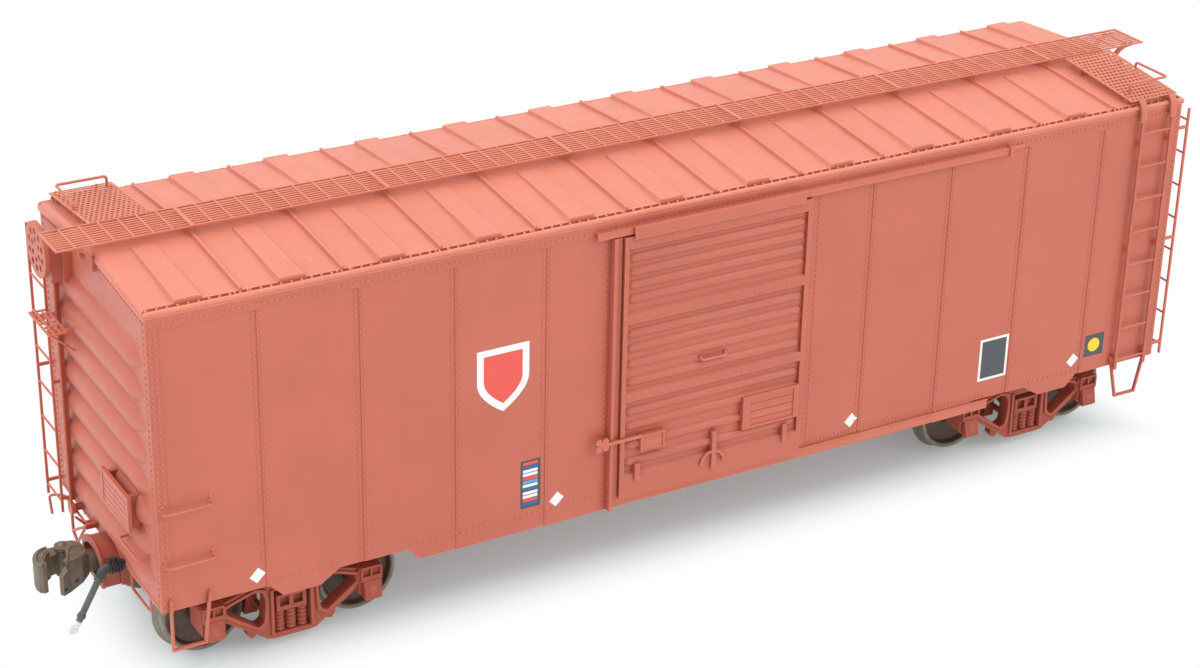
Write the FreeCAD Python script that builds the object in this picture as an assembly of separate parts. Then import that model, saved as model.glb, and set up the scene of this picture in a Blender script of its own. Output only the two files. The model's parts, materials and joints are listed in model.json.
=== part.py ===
import FreeCAD, Part
import math
import os

# Railroad boxcar, an HO scale (1:87) model of a 40-foot riveted steel car with
# 8-foot sliding doors, corrugated ends, a panel roof and a grid running board.
#
# Frame: millimetres, +X along the car with the hand brake on the -X end,
# -Y the near side, +Z up, z = 0 where the wheel flanges stand.
# Ladders, grab irons and doors repeat by half a turn about Z.

V = FreeCAD.Vector

# ---- driving dimensions ------------------------------------------------------
HALF_LENGTH = 71.7          # outside faces of the two end walls
HALF_WIDTH = 16.8           # outside faces of the two side walls
WALL = 1.0                  # thickness of sides and ends
RIDGE_Z = 50.6              # roof surface on the centre line
PANEL_EDGE = (16.4, 49.33)  # where the roof panels end at the eave: distance from the centre line, height
ROOF_SEAT_Z = 48.3          # top edge of the side walls
SIDE_EDGE_Z = 11.7          # lower edge of the side sheets at the trucks
SILL_Z = 10.05              # lower edge of the side sills and bolster tabs
PAN_Z = 12.2                # underside of the underframe plate
DECK_Z = 14.6               # loading floor

TRUCK_X = 54.25             # truck centres from the middle of the car
HALF_WHEELBASE = 9.9
AXLE_Z = 5.6
FLANGE_R = 5.6
TREAD_R = 5.05
FLANGE_BACK_Y = 7.2         # half the distance between wheel backs
WHEEL_FACE_Y = 9.3
JOURNAL_R = 0.75

BOARD_HALF_LENGTH = 76.4
BOARD_HALF_WIDTH = 2.93
BOARD_Z = (51.35, 51.7)

COUPLER_PIVOT_X = 66.0
COUPLER_Z = 10.55

DOOR_X = (-13.0, 13.25)     # edges of the near door when closed
DOOR_Z = (11.68, 46.4)
DOOR_OPENING_X = (-12.4, 12.7)
DOOR_OPENING_Z = (DECK_Z, 45.8)
TRACK_X = (-16.6, 43.6)

POST_X = (-14.39, -13.93)   # the strip that the closed door meets
JAMB_STRIP_X = (13.3, 14.42)
LEDGE_Z = (10.2, 11.58)     # the ledge under the door

PANEL_SEAMS_X = (-59.0, -46.7, -34.8, -22.9, 22.9, 34.8, 46.7, 59.0)
LAP = 0.12                  # how far a lapped edge or a riveted strip stands proud
TOP_BAND_Z = 46.85
ROOF_RIB_PITCH = 12.09
ROOF_RIBS = 11

# ---- worked out ----------------------------------------------------------------
INNER_Y = HALF_WIDTH - WALL
INNER_X = HALF_LENGTH - WALL
ROOF_SLOPE = (RIDGE_Z - PANEL_EDGE[1]) / PANEL_EDGE[0]
os.makedirs("parts", exist_ok=True)


# ---- helpers -------------------------------------------------------------------
def box(x, y, z):
    """A block between pairs of limits."""
    return Part.makeBox(x[1] - x[0], y[1] - y[0], z[1] - z[0], V(x[0], y[0], z[0]))


def both(middle, half):
    """Limits that lie half to each side of a middle."""
    return (middle - half, middle + half)


def slab(plane, points, low, high):
    """A polygon in the plane xz, yz or xy, pushed from low to high along the third axis."""
    place = {"xz": lambda a, b: V(a, low, b), "yz": lambda a, b: V(low, a, b),
             "xy": lambda a, b: V(a, b, low)}
    push = {"xz": V(0, high - low, 0), "yz": V(high - low, 0, 0), "xy": V(0, 0, high - low)}
    corners = [place[plane](a, b) for a, b in points]
    return outward_solid(Part.Face(Part.makePolygon(corners + corners[:1])).extrude(push[plane]))


def mirrored_points(points):
    """An outline given for its right half, from bottom to top, closed by its mirror image."""
    return points + [(-a, b) for a, b in reversed(points) if a > 0]


def rod(start, end, radius):
    """A round bar between two points."""
    start, end = V(start), V(end)
    return Part.makeCylinder(radius, start.distanceToPoint(end), start, end - start)


def bent_wire(points, radius, bend):
    """A round wire along points, its corners rounded to the radius bend."""
    points = [V(*p) for p in points]
    edges = []
    start = points[0]
    for before, corner, after in zip(points, points[1:], points[2:]):
        back = (before - corner).normalize()
        ahead = (after - corner).normalize()
        half_turn_angle = back.getAngle(ahead) / 2
        reach = bend / math.tan(half_turn_angle)
        inward = (back + ahead).normalize()
        middle = corner + inward * (bend / math.sin(half_turn_angle) - bend)
        edges.append(Part.LineSegment(start, corner + back * reach).toShape())
        edges.append(Part.Arc(corner + back * reach, middle, corner + ahead * reach).toShape())
        start = corner + ahead * reach
    edges.append(Part.LineSegment(start, points[-1]).toShape())
    ring = Part.Wire(Part.makeCircle(radius, points[0], points[1] - points[0]))
    return Part.Wire(edges).makePipeShell([ring], True, False)


def turned(profile, centre_x, centre_z):
    """A profile of (radius, y) turned about an axis along Y."""
    corners = [V(centre_x + r, y, centre_z) for r, y in profile]
    face = Part.Face(Part.makePolygon(corners + corners[:1]))
    return outward_solid(face.revolve(V(centre_x, 0, centre_z), V(0, 1, 0), 360))


def half_turn(shape):
    """A copy turned half way round the car's vertical axis."""
    copy = shape.copy()
    copy.rotate(V(0, 0, 0), V(0, 0, 1), 180)
    return copy


def mirror_x(shape):
    return shape.mirror(V(0, 0, 0), V(1, 0, 0))


def mirror_y(shape):
    return shape.mirror(V(0, 0, 0), V(0, 1, 0))


def fused(shapes):
    return shapes[0].multiFuse(shapes[1:]).removeSplitter()


def outward_solid(solid):
    """The solid with its faces turned outward."""
    if solid.Volume < 0:
        solid.reverse()
    return solid


def lofted(sections):
    """A solid with flat or ruled sides through closed polygons, one after another."""
    wires = [Part.makePolygon([V(*corner) for corner in section + section[:1]]) for section in sections]
    return outward_solid(Part.makeLoft(wires, True, True))


def pressed_rib(centre, run, out, half_width, height, full, tip):
    """A rib of round section pressed out of a sheet, sinking into it at both ends.

    The centre lies on the sheet, run points along the rib and out away from the sheet.  The
    rib keeps its full height up to full on both sides of the centre and ends at tip.
    """
    radius = (half_width ** 2 + height ** 2) / (2 * height)
    sunk = radius - height
    axis = centre - out * sunk
    profile = [(0, -tip), (sunk, -tip), (radius, -full), (radius, full), (sunk, tip), (0, tip)]
    corners = [axis + out * r + run * t for r, t in profile]
    return outward_solid(Part.Face(Part.makePolygon(corners + corners[:1])).revolve(axis, run, 360))


def grown(points, margin, y):
    """A polygon in the plane xz, grown by a margin with rounded corners, from one y to another."""
    corners = [V(a, y[0], b) for a, b in points]
    wire = Part.makePolygon(corners + corners[:1]).makeOffset2D(margin, 0, False, False)
    return outward_solid(Part.Face(wire).extrude(V(0, y[1] - y[0], 0)))


def save(node, shapes):
    """Write one sub-part: the solids of all its shapes."""
    solids = [solid for shape in shapes for solid in shape.Solids]
    shape = solids[0] if len(solids) == 1 else Part.makeCompound(solids)
    print(f"{node:26s} solids {len(solids):3d}  valid {shape.isValid()}  volume {shape.Volume:9.2f} mm3")
    shape.exportStep(f"parts/{node}.step")


# ---- underframe ----------------------------------------------------------------
CENTRE_SILL_HALF = 2.0
BOLSTER_HALF = 1.8
CENTRE_PLATE_Z = 9.3
CENTRE_PLATE_R = 2.6
KINGPIN_R = 0.8
PLATE_TOP_Z = PAN_Z + 0.8
BALLAST_TOP_Z = PLATE_TOP_Z + 0.9
CROSSBEARERS_X = (-36.0, -13.0, 13.0, 36.0)
CROSSTIES_X = (-28.5, -21.0, -5.0, 5.0, 21.0, 28.5)
TRAIN_LINE = {"y": -4.6, "z": 11.7, "r": 0.3}


def underframe_plate():
    return box((-INNER_X, INNER_X), (-INNER_Y, INNER_Y), (PAN_Z, PLATE_TOP_Z))


def ballast_weight():
    return box((-INNER_X, INNER_X), (-INNER_Y, INNER_Y), (PLATE_TOP_Z, BALLAST_TOP_Z))


def floor_deck():
    return box((-INNER_X, INNER_X), (-INNER_Y, INNER_Y), (BALLAST_TOP_Z, DECK_Z))


def centre_sill():
    """Two channels under a cover plate, with flanges along the bottom."""
    half, web, flange, foot = CENTRE_SILL_HALF, 0.4, 0.7, 9.6
    outline = [(half - web, foot), (half + flange, foot), (half + flange, foot + 0.3), (half, foot + 0.3)]
    outline += [(half, PAN_Z), (-half, PAN_Z), (-half, foot + 0.3), (-half - flange, foot + 0.3)]
    outline += [(-half - flange, foot), (web - half, foot)]
    outline += [(web - half, PAN_Z - 0.4), (half - web, PAN_Z - 0.4)]
    reach = TRUCK_X - BOLSTER_HALF
    return slab("yz", outline, -reach, reach)


def body_bolster(x):
    """A tapered cross beam over the truck, with its round centre plate and the kingpin's hole."""
    beam_z, tip_z = 9.9, 11.0
    outline = mirrored_points([(4.5, beam_z), (INNER_Y, tip_z), (INNER_Y, PAN_Z)])
    beam = slab("yz", outline, x - BOLSTER_HALF, x + BOLSTER_HALF)
    plate = Part.makeCylinder(CENTRE_PLATE_R, beam_z - CENTRE_PLATE_Z, V(x, 0, CENTRE_PLATE_Z))
    hole = Part.makeCylinder(KINGPIN_R, PAN_Z - CENTRE_PLATE_Z, V(x, 0, CENTRE_PLATE_Z))
    return beam.fuse(plate).removeSplitter().cut(hole)


def kingpin(x):
    """The truck screw: a shank up into the bolster and a head under the truck."""
    head_z = 5.8
    head = Part.makeCylinder(1.5, 0.7, V(x, 0, head_z))
    shank = Part.makeCylinder(KINGPIN_R, PAN_Z - head_z - 0.7, V(x, 0, head_z + 0.7))
    return head.fuse(shank).removeSplitter()


def cross_member(x, depth, tip_depth, half_thickness, flange):
    """One arm from the centre sill to the side sill, tapered, with a flange along its lower edge."""
    arm = slab("yz", [(CENTRE_SILL_HALF, PAN_Z - depth), (INNER_Y, PAN_Z - tip_depth), (INNER_Y, PAN_Z),
                      (CENTRE_SILL_HALF, PAN_Z)], x - half_thickness, x + half_thickness)
    foot = slab("yz", [(CENTRE_SILL_HALF, PAN_Z - depth), (INNER_Y, PAN_Z - tip_depth),
                       (INNER_Y, PAN_Z - tip_depth + 0.25), (CENTRE_SILL_HALF, PAN_Z - depth + 0.25)],
                x - half_thickness - flange, x + half_thickness + flange)
    right = arm.fuse(foot).removeSplitter()
    return [right, mirror_y(right)]


def train_line():
    reach = TRUCK_X - BOLSTER_HALF
    y, z = TRAIN_LINE["y"], TRAIN_LINE["z"]
    return rod((-reach, y, z), (reach, y, z), TRAIN_LINE["r"])


def crossbearers():
    arms = []
    for x in CROSSBEARERS_X:
        arms += cross_member(x, 2.0, 1.1, 0.35, 0.5)
    for x in CROSSTIES_X:
        arms += cross_member(x, 1.2, 0.9, 0.3, 0.0)
    return [arm.cut(train_line()) for arm in arms]


# ---- side walls ------------------------------------------------------------------
def side_outline():
    """Side sheet with the bolster tabs and the deep sill between the trucks."""
    right = [(0, SILL_Z), (39.6, SILL_Z), (41.2, SIDE_EDGE_Z), (49.8, SIDE_EDGE_Z), (52.3, SILL_Z)]
    right += [(57.0, SILL_Z), (58.6, SIDE_EDGE_Z), (HALF_LENGTH, SIDE_EDGE_Z), (HALF_LENGTH, ROOF_SEAT_Z)]
    return mirrored_points(right)


def side_wall_near():
    """A sheet with its door opening, lapped panels, corner posts and riveted bands."""
    proud_y, root_y = -HALF_WIDTH - LAP, -HALF_WIDTH + 0.2
    wall = slab("xz", side_outline(), -HALF_WIDTH, -INNER_Y)
    laps = []
    for left, right in zip(PANEL_SEAMS_X, PANEL_SEAMS_X[1:] + (HALF_LENGTH,)):
        if left < 0 < right:
            right = POST_X[0]
        laps.append(slab("xy", [(left, root_y), (left, proud_y), (right, -HALF_WIDTH), (right, root_y)],
                         SILL_Z, ROOF_SEAT_Z))
    laps = [lap.common(slab("xz", side_outline(), -HALF_WIDTH - 1, -INNER_Y)) for lap in laps]
    strips = [box(both(side * (HALF_LENGTH - 0.7), 0.7), (proud_y, root_y), (SIDE_EDGE_Z, ROOF_SEAT_Z))
              for side in (-1, 1)]
    strips.append(box(JAMB_STRIP_X, (proud_y, root_y), (LEDGE_Z[1], TOP_BAND_Z)))
    strips.append(box((-HALF_LENGTH, HALF_LENGTH), (proud_y, root_y), (TOP_BAND_Z, ROOF_SEAT_Z)))
    opening = box(DOOR_OPENING_X, (-HALF_WIDTH - 1, -INNER_Y + 1), DOOR_OPENING_Z)
    return fused([wall] + laps + strips).cut(opening)


# ---- end walls -------------------------------------------------------------------
END_RIB = {"count": 8, "top_z": 42.5, "pitch": 3.9}
END_RIB_SHAPE = {"half_width": 1.75, "height": 0.8, "full": 12.6, "tip": 15.5}


def end_rib(z):
    return pressed_rib(V(-HALF_LENGTH, 0, z), V(0, 1, 0), V(-1, 0, 0), **END_RIB_SHAPE)


def end_wall_brake():
    """An end sheet up to the roof, pressed into a stack of round-ended corrugations."""
    outline = mirrored_points([(INNER_Y, SIDE_EDGE_Z), (INNER_Y, ROOF_SEAT_Z)])
    outline.insert(2, (0, ROOF_SEAT_Z + ROOF_SLOPE * INNER_Y))
    sheet = slab("yz", outline, -HALF_LENGTH, -INNER_X)
    ribs = [end_rib(END_RIB["top_z"] - k * END_RIB["pitch"]) for k in range(END_RIB["count"])]
    inside = box((-INNER_X, -INNER_X + 4), (-INNER_Y, INNER_Y), (SIDE_EDGE_Z, ROOF_SEAT_Z))
    notch = box((-HALF_LENGTH - 1, -INNER_X + 1), both(0, POCKET["half"]), (SIDE_EDGE_Z - 1, PAN_Z))
    return fused([sheet] + ribs).cut(inside).cut(notch)


# ---- roof ------------------------------------------------------------------------
ROOF_HALF_LENGTH = 71.95
ROOF_END_ROUND = 0.8
ROOF_RIB = {"base_half": 0.34, "top_half": 0.15, "height": 0.38}
# half width at the foot, half width on top, height
ROOF_SWELL = {"ridge_y": 3.0, "ridge": (1.6, 1.35, 0.2), "eave": (1.75, 1.5, 0.45)}
GROOVE_Z = 48.95            # the riveted groove between the roof panels and the eave's lip
GROOVE_Y = 16.78
EAVE_LIP = [(16.82, 49.19), (17.0, 49.19), (17.1, 49.08), (17.1, 48.72), (16.92, 48.66), (16.92, ROOF_SEAT_Z)]


def roof_z(y):
    return RIDGE_Z - ROOF_SLOPE * abs(y)


def roof_section(x, y, base_half, top_half, height):
    """The outline across a raised bar on the roof, its foot sunk into the sheet."""
    foot, top = roof_z(y) - 0.2, roof_z(y) + height
    return [(x - base_half, y, foot), (x + base_half, y, foot),
            (x + top_half, y, top), (x - top_half, y, top)]


def roof_rib(x):
    """One joint cap across the roof, from panel edge to panel edge."""
    size = ROOF_RIB["base_half"], ROOF_RIB["top_half"], ROOF_RIB["height"]
    return lofted([roof_section(x, y, *size) for y in (-PANEL_EDGE[0], 0, PANEL_EDGE[0])])


def roof_swell(x):
    """One pressed swelling in a roof panel on each side of the ridge, widest and highest at the eave."""
    right = lofted([roof_section(x, ROOF_SWELL["ridge_y"], *ROOF_SWELL["ridge"]),
                    roof_section(x, PANEL_EDGE[0], *ROOF_SWELL["eave"])])
    return [right, mirror_y(right)]


def roof_ribs_x():
    return [(k - (ROOF_RIBS - 1) / 2) * ROOF_RIB_PITCH for k in range(ROOF_RIBS)]


def roof_panels_x():
    """The middles of the panels, between the ribs and beyond the outer two."""
    return [(k - ROOF_RIBS / 2) * ROOF_RIB_PITCH for k in range(ROOF_RIBS + 1)]


def roof():
    """The roof sheet with its rounded ends, grooved eaves, panel ribs and pressed swellings."""
    half = [PANEL_EDGE, (PANEL_EDGE[0], GROOVE_Z), (GROOVE_Y, GROOVE_Z)] + EAVE_LIP + [(INNER_Y, ROOF_SEAT_Z)]
    under_ridge = (0, ROOF_SEAT_Z + ROOF_SLOPE * INNER_Y)
    outline = [(0, RIDGE_Z)] + half + [under_ridge] + [(-y, z) for y, z in reversed(half)]
    sheet = slab("yz", outline, -ROOF_HALF_LENGTH, ROOF_HALF_LENGTH)
    end_edges = []
    for edge in sheet.Edges:
        tops = [abs(vertex.Y) <= PANEL_EDGE[0] + 0.01 and abs(vertex.Z - roof_z(vertex.Y)) < 0.01
                and abs(vertex.X) > ROOF_HALF_LENGTH - 0.01 for vertex in edge.Vertexes]
        if all(tops) and abs(edge.Vertexes[0].X - edge.Vertexes[1].X) < 0.01:
            end_edges.append(edge)
    pieces = [sheet.makeFillet(ROOF_END_ROUND, end_edges)]
    pieces += [roof_rib(x) for x in roof_ribs_x()]
    for x in roof_panels_x():
        pieces += roof_swell(x)
    return fused(pieces)


# ---- running boards --------------------------------------------------------------
BOARD_PANELS = 50
BOARD_BAR = 0.3
WALK_X = (62.9, 70.5)
WALK_Y = (3.1, 16.9)
WALK_Z = (51.55, 50.1)      # top face at the running board and at the eave
WALK_THICK = 0.3


def running_board():
    """A long grid walk: edge bars with cross bars between, the fine slots left open as panels."""
    board = box((-BOARD_HALF_LENGTH, BOARD_HALF_LENGTH), (-BOARD_HALF_WIDTH, BOARD_HALF_WIDTH), BOARD_Z)
    pitch = 2 * BOARD_HALF_LENGTH / BOARD_PANELS
    gap_y = BOARD_HALF_WIDTH - BOARD_BAR
    through = (BOARD_Z[0] - 1, BOARD_Z[1] + 1)
    gaps = []
    for k in range(BOARD_PANELS):
        x = (k + 0.5) * pitch - BOARD_HALF_LENGTH
        gaps.append(box(both(x, pitch / 2 - BOARD_BAR / 2), (-gap_y, gap_y), through))
    return board.cut(Part.makeCompound(gaps))


def running_board_saddles():
    """A saddle over each roof rib and on each panel, and two curved brackets under each overhanging end."""
    half = 2.6
    outline = [(half, roof_z(half)), (half, BOARD_Z[0]), (-half, BOARD_Z[0]), (-half, roof_z(half))]
    outline.append((0, RIDGE_Z))
    saddles = [slab("yz", outline, x - 0.45, x + 0.45).cut(roof_rib(x)) for x in roof_ribs_x()]
    saddles += [slab("yz", outline, x - 0.3, x + 0.3) for x in roof_panels_x()]
    root, top = -ROOF_HALF_LENGTH, BOARD_Z[0]
    curve = [(-HALF_LENGTH, 48.2), (-HALF_LENGTH, 49.3), (root, 49.3), (root, 49.6), (root - 0.35, 50.3),
             (root - 0.9, 50.8), (root - 1.8, top - 0.1), (root - 1.8, top), (root - 3.3, top),
             (root - 3.3, top - 0.25), (root - 1.9, top - 0.4), (root - 1.1, top - 0.9), (root - 0.6, 50.0),
             (root - 0.3, 49.2), (root - 0.3, 48.2)]
    for y in (-2.1, 2.1):
        arm = slab("xz", curve, y - 0.35, y + 0.35)
        saddles += [arm, mirror_x(arm)]
    return saddles


def walk_z(y):
    """Height of the lateral walk's top face."""
    return WALK_Z[0] + (WALK_Z[1] - WALK_Z[0]) * (abs(y) - WALK_Y[0]) / (WALK_Y[1] - WALK_Y[0])


def lateral_walk_near():
    """The side walk from the running board to the near eave, with straps down to the ladder's stiles."""
    inner, outer = -WALK_Y[0], -WALK_Y[1]
    outline = [(inner, WALK_Z[0]), (outer, WALK_Z[1])]
    outline += [(outer, WALK_Z[1] - WALK_THICK), (inner, WALK_Z[0] - WALK_THICK)]
    pieces = [slab("yz", outline, *WALK_X)]
    for x in (WALK_X[0] + 0.6, WALK_X[1] - 0.6):
        for y in (-6.0, -15.5):
            foot = [(y - 0.3, roof_z(y - 0.3)), (y + 0.3, roof_z(y + 0.3))]
            foot += [(y + 0.3, walk_z(y) - 0.1), (y - 0.3, walk_z(y) - 0.1)]
            pieces.append(slab("yz", foot, x - 0.3, x + 0.3))
    strap = [(-16.6, 50.05), (-16.95, 50.05), (-17.55, 49.3), (-17.75, 48.4), (-17.75, LADDER_Z[1]),
             (-17.45, LADDER_Z[1]), (-17.45, 48.3), (-17.3, 49.2), (-16.6, 49.85)]
    for x in SIDE_LADDER_X:
        pieces.append(slab("yz", strap, x - 0.45, x + 0.45))
    return fused(pieces)


# ---- ladders, grab irons and steps -------------------------------------------------
RUNG = {"r": 0.16, "pitch": 4.69, "top_z": 45.5, "count": 8}
SIDE_LADDER_X = (64.75, 69.65)
LADDER_Z = (11.3, 47.2)
GRAB_R = 0.16


def side_ladder_near(wall):
    """A ladder on brackets: two flat stiles and eight round rungs."""
    face_y, back_y, stile = -17.75, -17.4, 0.22
    pieces = []
    for x in SIDE_LADDER_X:
        pieces.append(box(both(x, stile), (face_y, back_y), LADDER_Z))
        for z in (13.2, 29.0, 44.0):
            pieces.append(box(both(x, stile), (back_y, -HALF_WIDTH), both(z, 0.35)))
    for k in range(RUNG["count"]):
        z = RUNG["top_z"] - k * RUNG["pitch"]
        middle_y = (face_y + back_y) / 2
        pieces.append(rod((SIDE_LADDER_X[0], middle_y, z), (SIDE_LADDER_X[1], middle_y, z), RUNG["r"]))
    return fused(pieces).cut(wall)


def end_ladder_brake(end_wall):
    """The matching ladder on the brake end."""
    face_x, back_x, stile = -73.75, -73.4, 0.2
    inner_y, outer_y = 11.1, 16.35
    pieces = []
    for y in (inner_y, outer_y):
        pieces.append(box((face_x, back_x), both(y, stile), LADDER_Z))
        for z in (13.1, 28.75, 44.6):
            pieces.append(box((back_x, -HALF_LENGTH), both(y, stile), both(z, 0.3)))
    for k in range(RUNG["count"]):
        z = RUNG["top_z"] - k * RUNG["pitch"]
        middle_x = (face_x + back_x) / 2
        pieces.append(rod((middle_x, inner_y, z), (middle_x, outer_y, z), RUNG["r"]))
    return fused(pieces).cut(end_wall)


def grab_iron(start, end, stand):
    """A round bar between two points, bent back at both ends to small pads on the wall."""
    a, b, off = V(*start), V(*end), V(*stand)
    bar = bent_wire([tuple(a), tuple(a + off), tuple(b + off), tuple(b)], GRAB_R, 0.35)
    return fused([bar] + [Part.makeCylinder(2 * GRAB_R, 0.15, point, off) for point in (a, b)])


def grab_irons(end_wall):
    """Two on the near side, one low on each end and one under its sill, and their half-turn copies."""
    one_end = [grab_iron((-71.0, -HALF_WIDTH - LAP, z), (-65.3, -HALF_WIDTH, z), (0, -0.8, 0))
               for z in (24.6, 17.7)]
    across = grab_iron((-HALF_LENGTH, -13.6, 17.2), (-HALF_LENGTH, -7.5, 17.2), (-1.3, 0, 0))
    one_end.append(across.cut(end_wall))
    x, top, low = 0.5 - HALF_LENGTH, SIDE_EDGE_Z, SIDE_EDGE_Z - 2.7
    outer_y, inner_y = -11.8, -5.7
    one_end.append(bent_wire([(x, outer_y, top), (x, outer_y, low), (x, inner_y, low), (x, inner_y, top)],
                             GRAB_R, 0.5))
    return one_end + [half_turn(piece) for piece in one_end]


def strap_step(points, half_width, y):
    """A flat strap bent along points in the plane of the side, then hung on it."""
    runs = []
    thick = 0.15
    for (x0, z0), (x1, z1) in zip(points, points[1:]):
        length = math.hypot(x1 - x0, z1 - z0)
        run = Part.makeBox(length + 2 * thick, 2 * half_width, 2 * thick, V(-thick, -half_width, -thick))
        run.rotate(V(0, 0, 0), V(0, 1, 0), -math.degrees(math.atan2(z1 - z0, x1 - x0)))
        run.translate(V(x0, y, z0))
        runs.append(run)
    return fused(runs)


def sill_steps(wall):
    """A stirrup at each corner: square ones by the grab irons, tapered ones under the ladders."""
    y = -HALF_WIDTH - 0.32
    square = strap_step([(-70.7, 13.2), (-70.7, 6.8), (-66.8, 6.8), (-66.0, 13.2)], 0.2, y).cut(wall)
    tapered = strap_step([(64.2, 13.0), (65.7, 6.9), (69.0, 6.9), (70.2, 13.0)], 0.2, y).cut(wall)
    return [square, tapered, half_turn(square), half_turn(tapered)]


def roof_grab_near(walk):
    """A corner rail round the outer corner of the lateral walk."""
    x0, x1 = 64.05, 70.2
    y0, y1 = -15.05, -8.9
    rail_z = 51.7
    rail = bent_wire([(x0, y0, walk_z(y0) - 0.1), (x0, y0, rail_z), (x1, y0, rail_z), (x1, y1, rail_z),
                      (x1, y1, walk_z(y1) - 0.1)], GRAB_R, 0.4)
    return rail.cut(walk)


# ---- hand brake on the end ---------------------------------------------------------
BRAKE_WHEEL = {"y": 8.6, "z": 47.1, "r": 3.35, "x": -75.1}
BRAKE_CASE_LOW = 43.0
BRAKE_STEP = {"x": (-75.7, -73.4), "y": (4.3, 11.5), "z": 38.2}


def brake_wheel():
    """A pressed disc with a rim and rings of holes, on a short shaft."""
    x, y, z, r = BRAKE_WHEEL["x"], BRAKE_WHEEL["y"], BRAKE_WHEEL["z"], BRAKE_WHEEL["r"]
    along = V(1, 0, 0)
    disc = Part.makeCylinder(r, 0.3, V(x, y, z), along)
    hollow = Part.makeCylinder(r - 0.35, 0.6, V(x, y, z), along)
    rim = Part.makeCylinder(r, 0.6, V(x, y, z), along).cut(hollow)
    holes = []
    for count, ring, hole_r in ((6, 1.2, 0.36), (10, 2.25, 0.44)):
        for k in range(count):
            angle = 2 * math.pi * (k + 0.5) / count
            centre = V(x - 1, y + ring * math.cos(angle), z + ring * math.sin(angle))
            holes.append(Part.makeCylinder(hole_r, 3, centre, along))
    shaft = Part.makeCylinder(0.45, 1.2, V(x, y, z), along)
    return fused([disc.cut(Part.makeCompound(holes)), rim, shaft])


def brake_gear_housing():
    """The gear case, a round-topped casting, on a channel that stands on the flat top of the end."""
    y, z, x_out = BRAKE_WHEEL["y"], BRAKE_WHEEL["z"], BRAKE_WHEEL["x"] + 1.2
    half, arch_z, x_back, foot = 1.5, 47.0, -72.7, BRAKE_CASE_LOW
    outline = [V(x_out, y - 0.9, foot), V(x_out, y - half, foot + 0.9), V(x_out, y - half, arch_z)]
    outline += [V(x_out, y, arch_z + half), V(x_out, y + half, arch_z)]
    outline += [V(x_out, y + half, foot + 0.9), V(x_out, y + 0.9, foot)]
    edges = [Part.Arc(*outline[2:5]).toShape()]
    rest = outline[4:] + outline[:3]
    edges += [Part.LineSegment(a, b).toShape() for a, b in zip(rest, rest[1:])]
    case = outward_solid(Part.Face(Part.Wire(edges)).extrude(V(x_back - x_out, 0, 0)))
    channel = box((x_back, -HALF_LENGTH), both(y, 2.15), (foot + 0.3, 48.0))
    hollow = box((x_back + 0.3, -HALF_LENGTH + 1), both(y, 1.85), (foot - 1, 49.0))
    return fused([case, channel.cut(hollow)])


def brake_step(end_wall, ladder):
    """A small platform with square holes, held by two arms with a brace under each."""
    x, y, z = BRAKE_STEP["x"], BRAKE_STEP["y"], BRAKE_STEP["z"]
    plate = box(x, y, (z - 0.3, z))
    columns, rows, bar = 7, 2, 0.32
    cell_y = (y[1] - y[0] - bar) / columns
    cell_x = (x[1] - x[0] - bar) / rows
    holes = []
    for i in range(columns):
        for j in range(rows):
            low_y, low_x = y[0] + bar + i * cell_y, x[0] + bar + j * cell_x
            holes.append(box((low_x, low_x + cell_x - bar), (low_y, low_y + cell_y - bar), (z - 1, z + 1)))
    arms = []
    for arm_y in (y[0] + bar / 2 + cell_y, y[1] - bar / 2 - cell_y):
        arms.append(box((x[0] + 0.3, -HALF_LENGTH), both(arm_y, 0.16), (z - 0.55, z - 0.3)))
        arms.append(rod((x[0] + 0.45, arm_y, z - 0.45), (-HALF_LENGTH - 0.3, arm_y, z - 3.7), 0.16))
    return fused([plate.cut(Part.makeCompound(holes))] + arms).cut(end_wall).cut(ladder)


def brake_rod(end_wall):
    """The chain rod from the gear case down the end to its bell crank, and the guard strip beside it."""
    x, y, wire = -73.15, BRAKE_WHEEL["y"] + 0.4, 0.18
    corners = [(x, y, 9.7), (x, y - 5.0, 12.75), (x, y - 1.4, 8.7)]
    crank = [rod(a, b, wire) for a, b in zip(corners, corners[1:] + corners[:1])]
    crank += [Part.makeSphere(wire, V(*corner)) for corner in corners]
    lug = box((x, -HALF_LENGTH), both(y - 5.0, 0.25), both(12.75, 0.3))
    sheave = rod((x - 0.2, y, 12.75), (x + 0.3, y, 12.75), 0.8)
    sheave_lug = box((x, -HALF_LENGTH), both(y, 0.3), both(12.75, 0.35))
    chain = rod((x, y, 9.7), (x, y, BRAKE_CASE_LOW), wire)
    strip_x = (-73.0, -HALF_LENGTH - END_RIB_SHAPE["height"] + 0.1)
    strip = box(strip_x, (y + 0.45, y + 1.05), (13.6, BRAKE_CASE_LOW - 0.1))
    return [fused([chain, sheave, sheave_lug, lug] + crank).cut(end_wall), strip.cut(end_wall)]


# ---- end fittings --------------------------------------------------------------------
TACK_BOARD = {"y": (-12.6, -4.0), "z": (20.4, 24.9), "x": (-73.5, -73.0)}


def tack_board_brake(end_wall):
    """A framed board of horizontal slats on two posts that stand on the end sheet."""
    x, y, z = TACK_BOARD["x"], TACK_BOARD["y"], TACK_BOARD["z"]
    field_y = (y[0] + 0.45, y[1] - 0.45)
    cuts = [box((x[0] - 1, x[0] + 0.1), field_y, (z[0] + 0.35, z[1] - 0.35))]
    slats, joint = 5, 0.07
    slat = (z[1] - z[0] - 0.7) / slats
    for k in range(1, slats):
        cuts.append(box((x[0] - 1, x[0] + 0.2), field_y, both(z[0] + 0.35 + k * slat, joint)))
    board = box(x, y, z).cut(Part.makeCompound(cuts))
    posts = [box((x[1], -HALF_LENGTH), both(post_y, 0.3), (z[0] + 0.2, z[1] - 0.2))
             for post_y in (-11.6, -5.0)]
    return fused([board] + posts).cut(end_wall)


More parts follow.
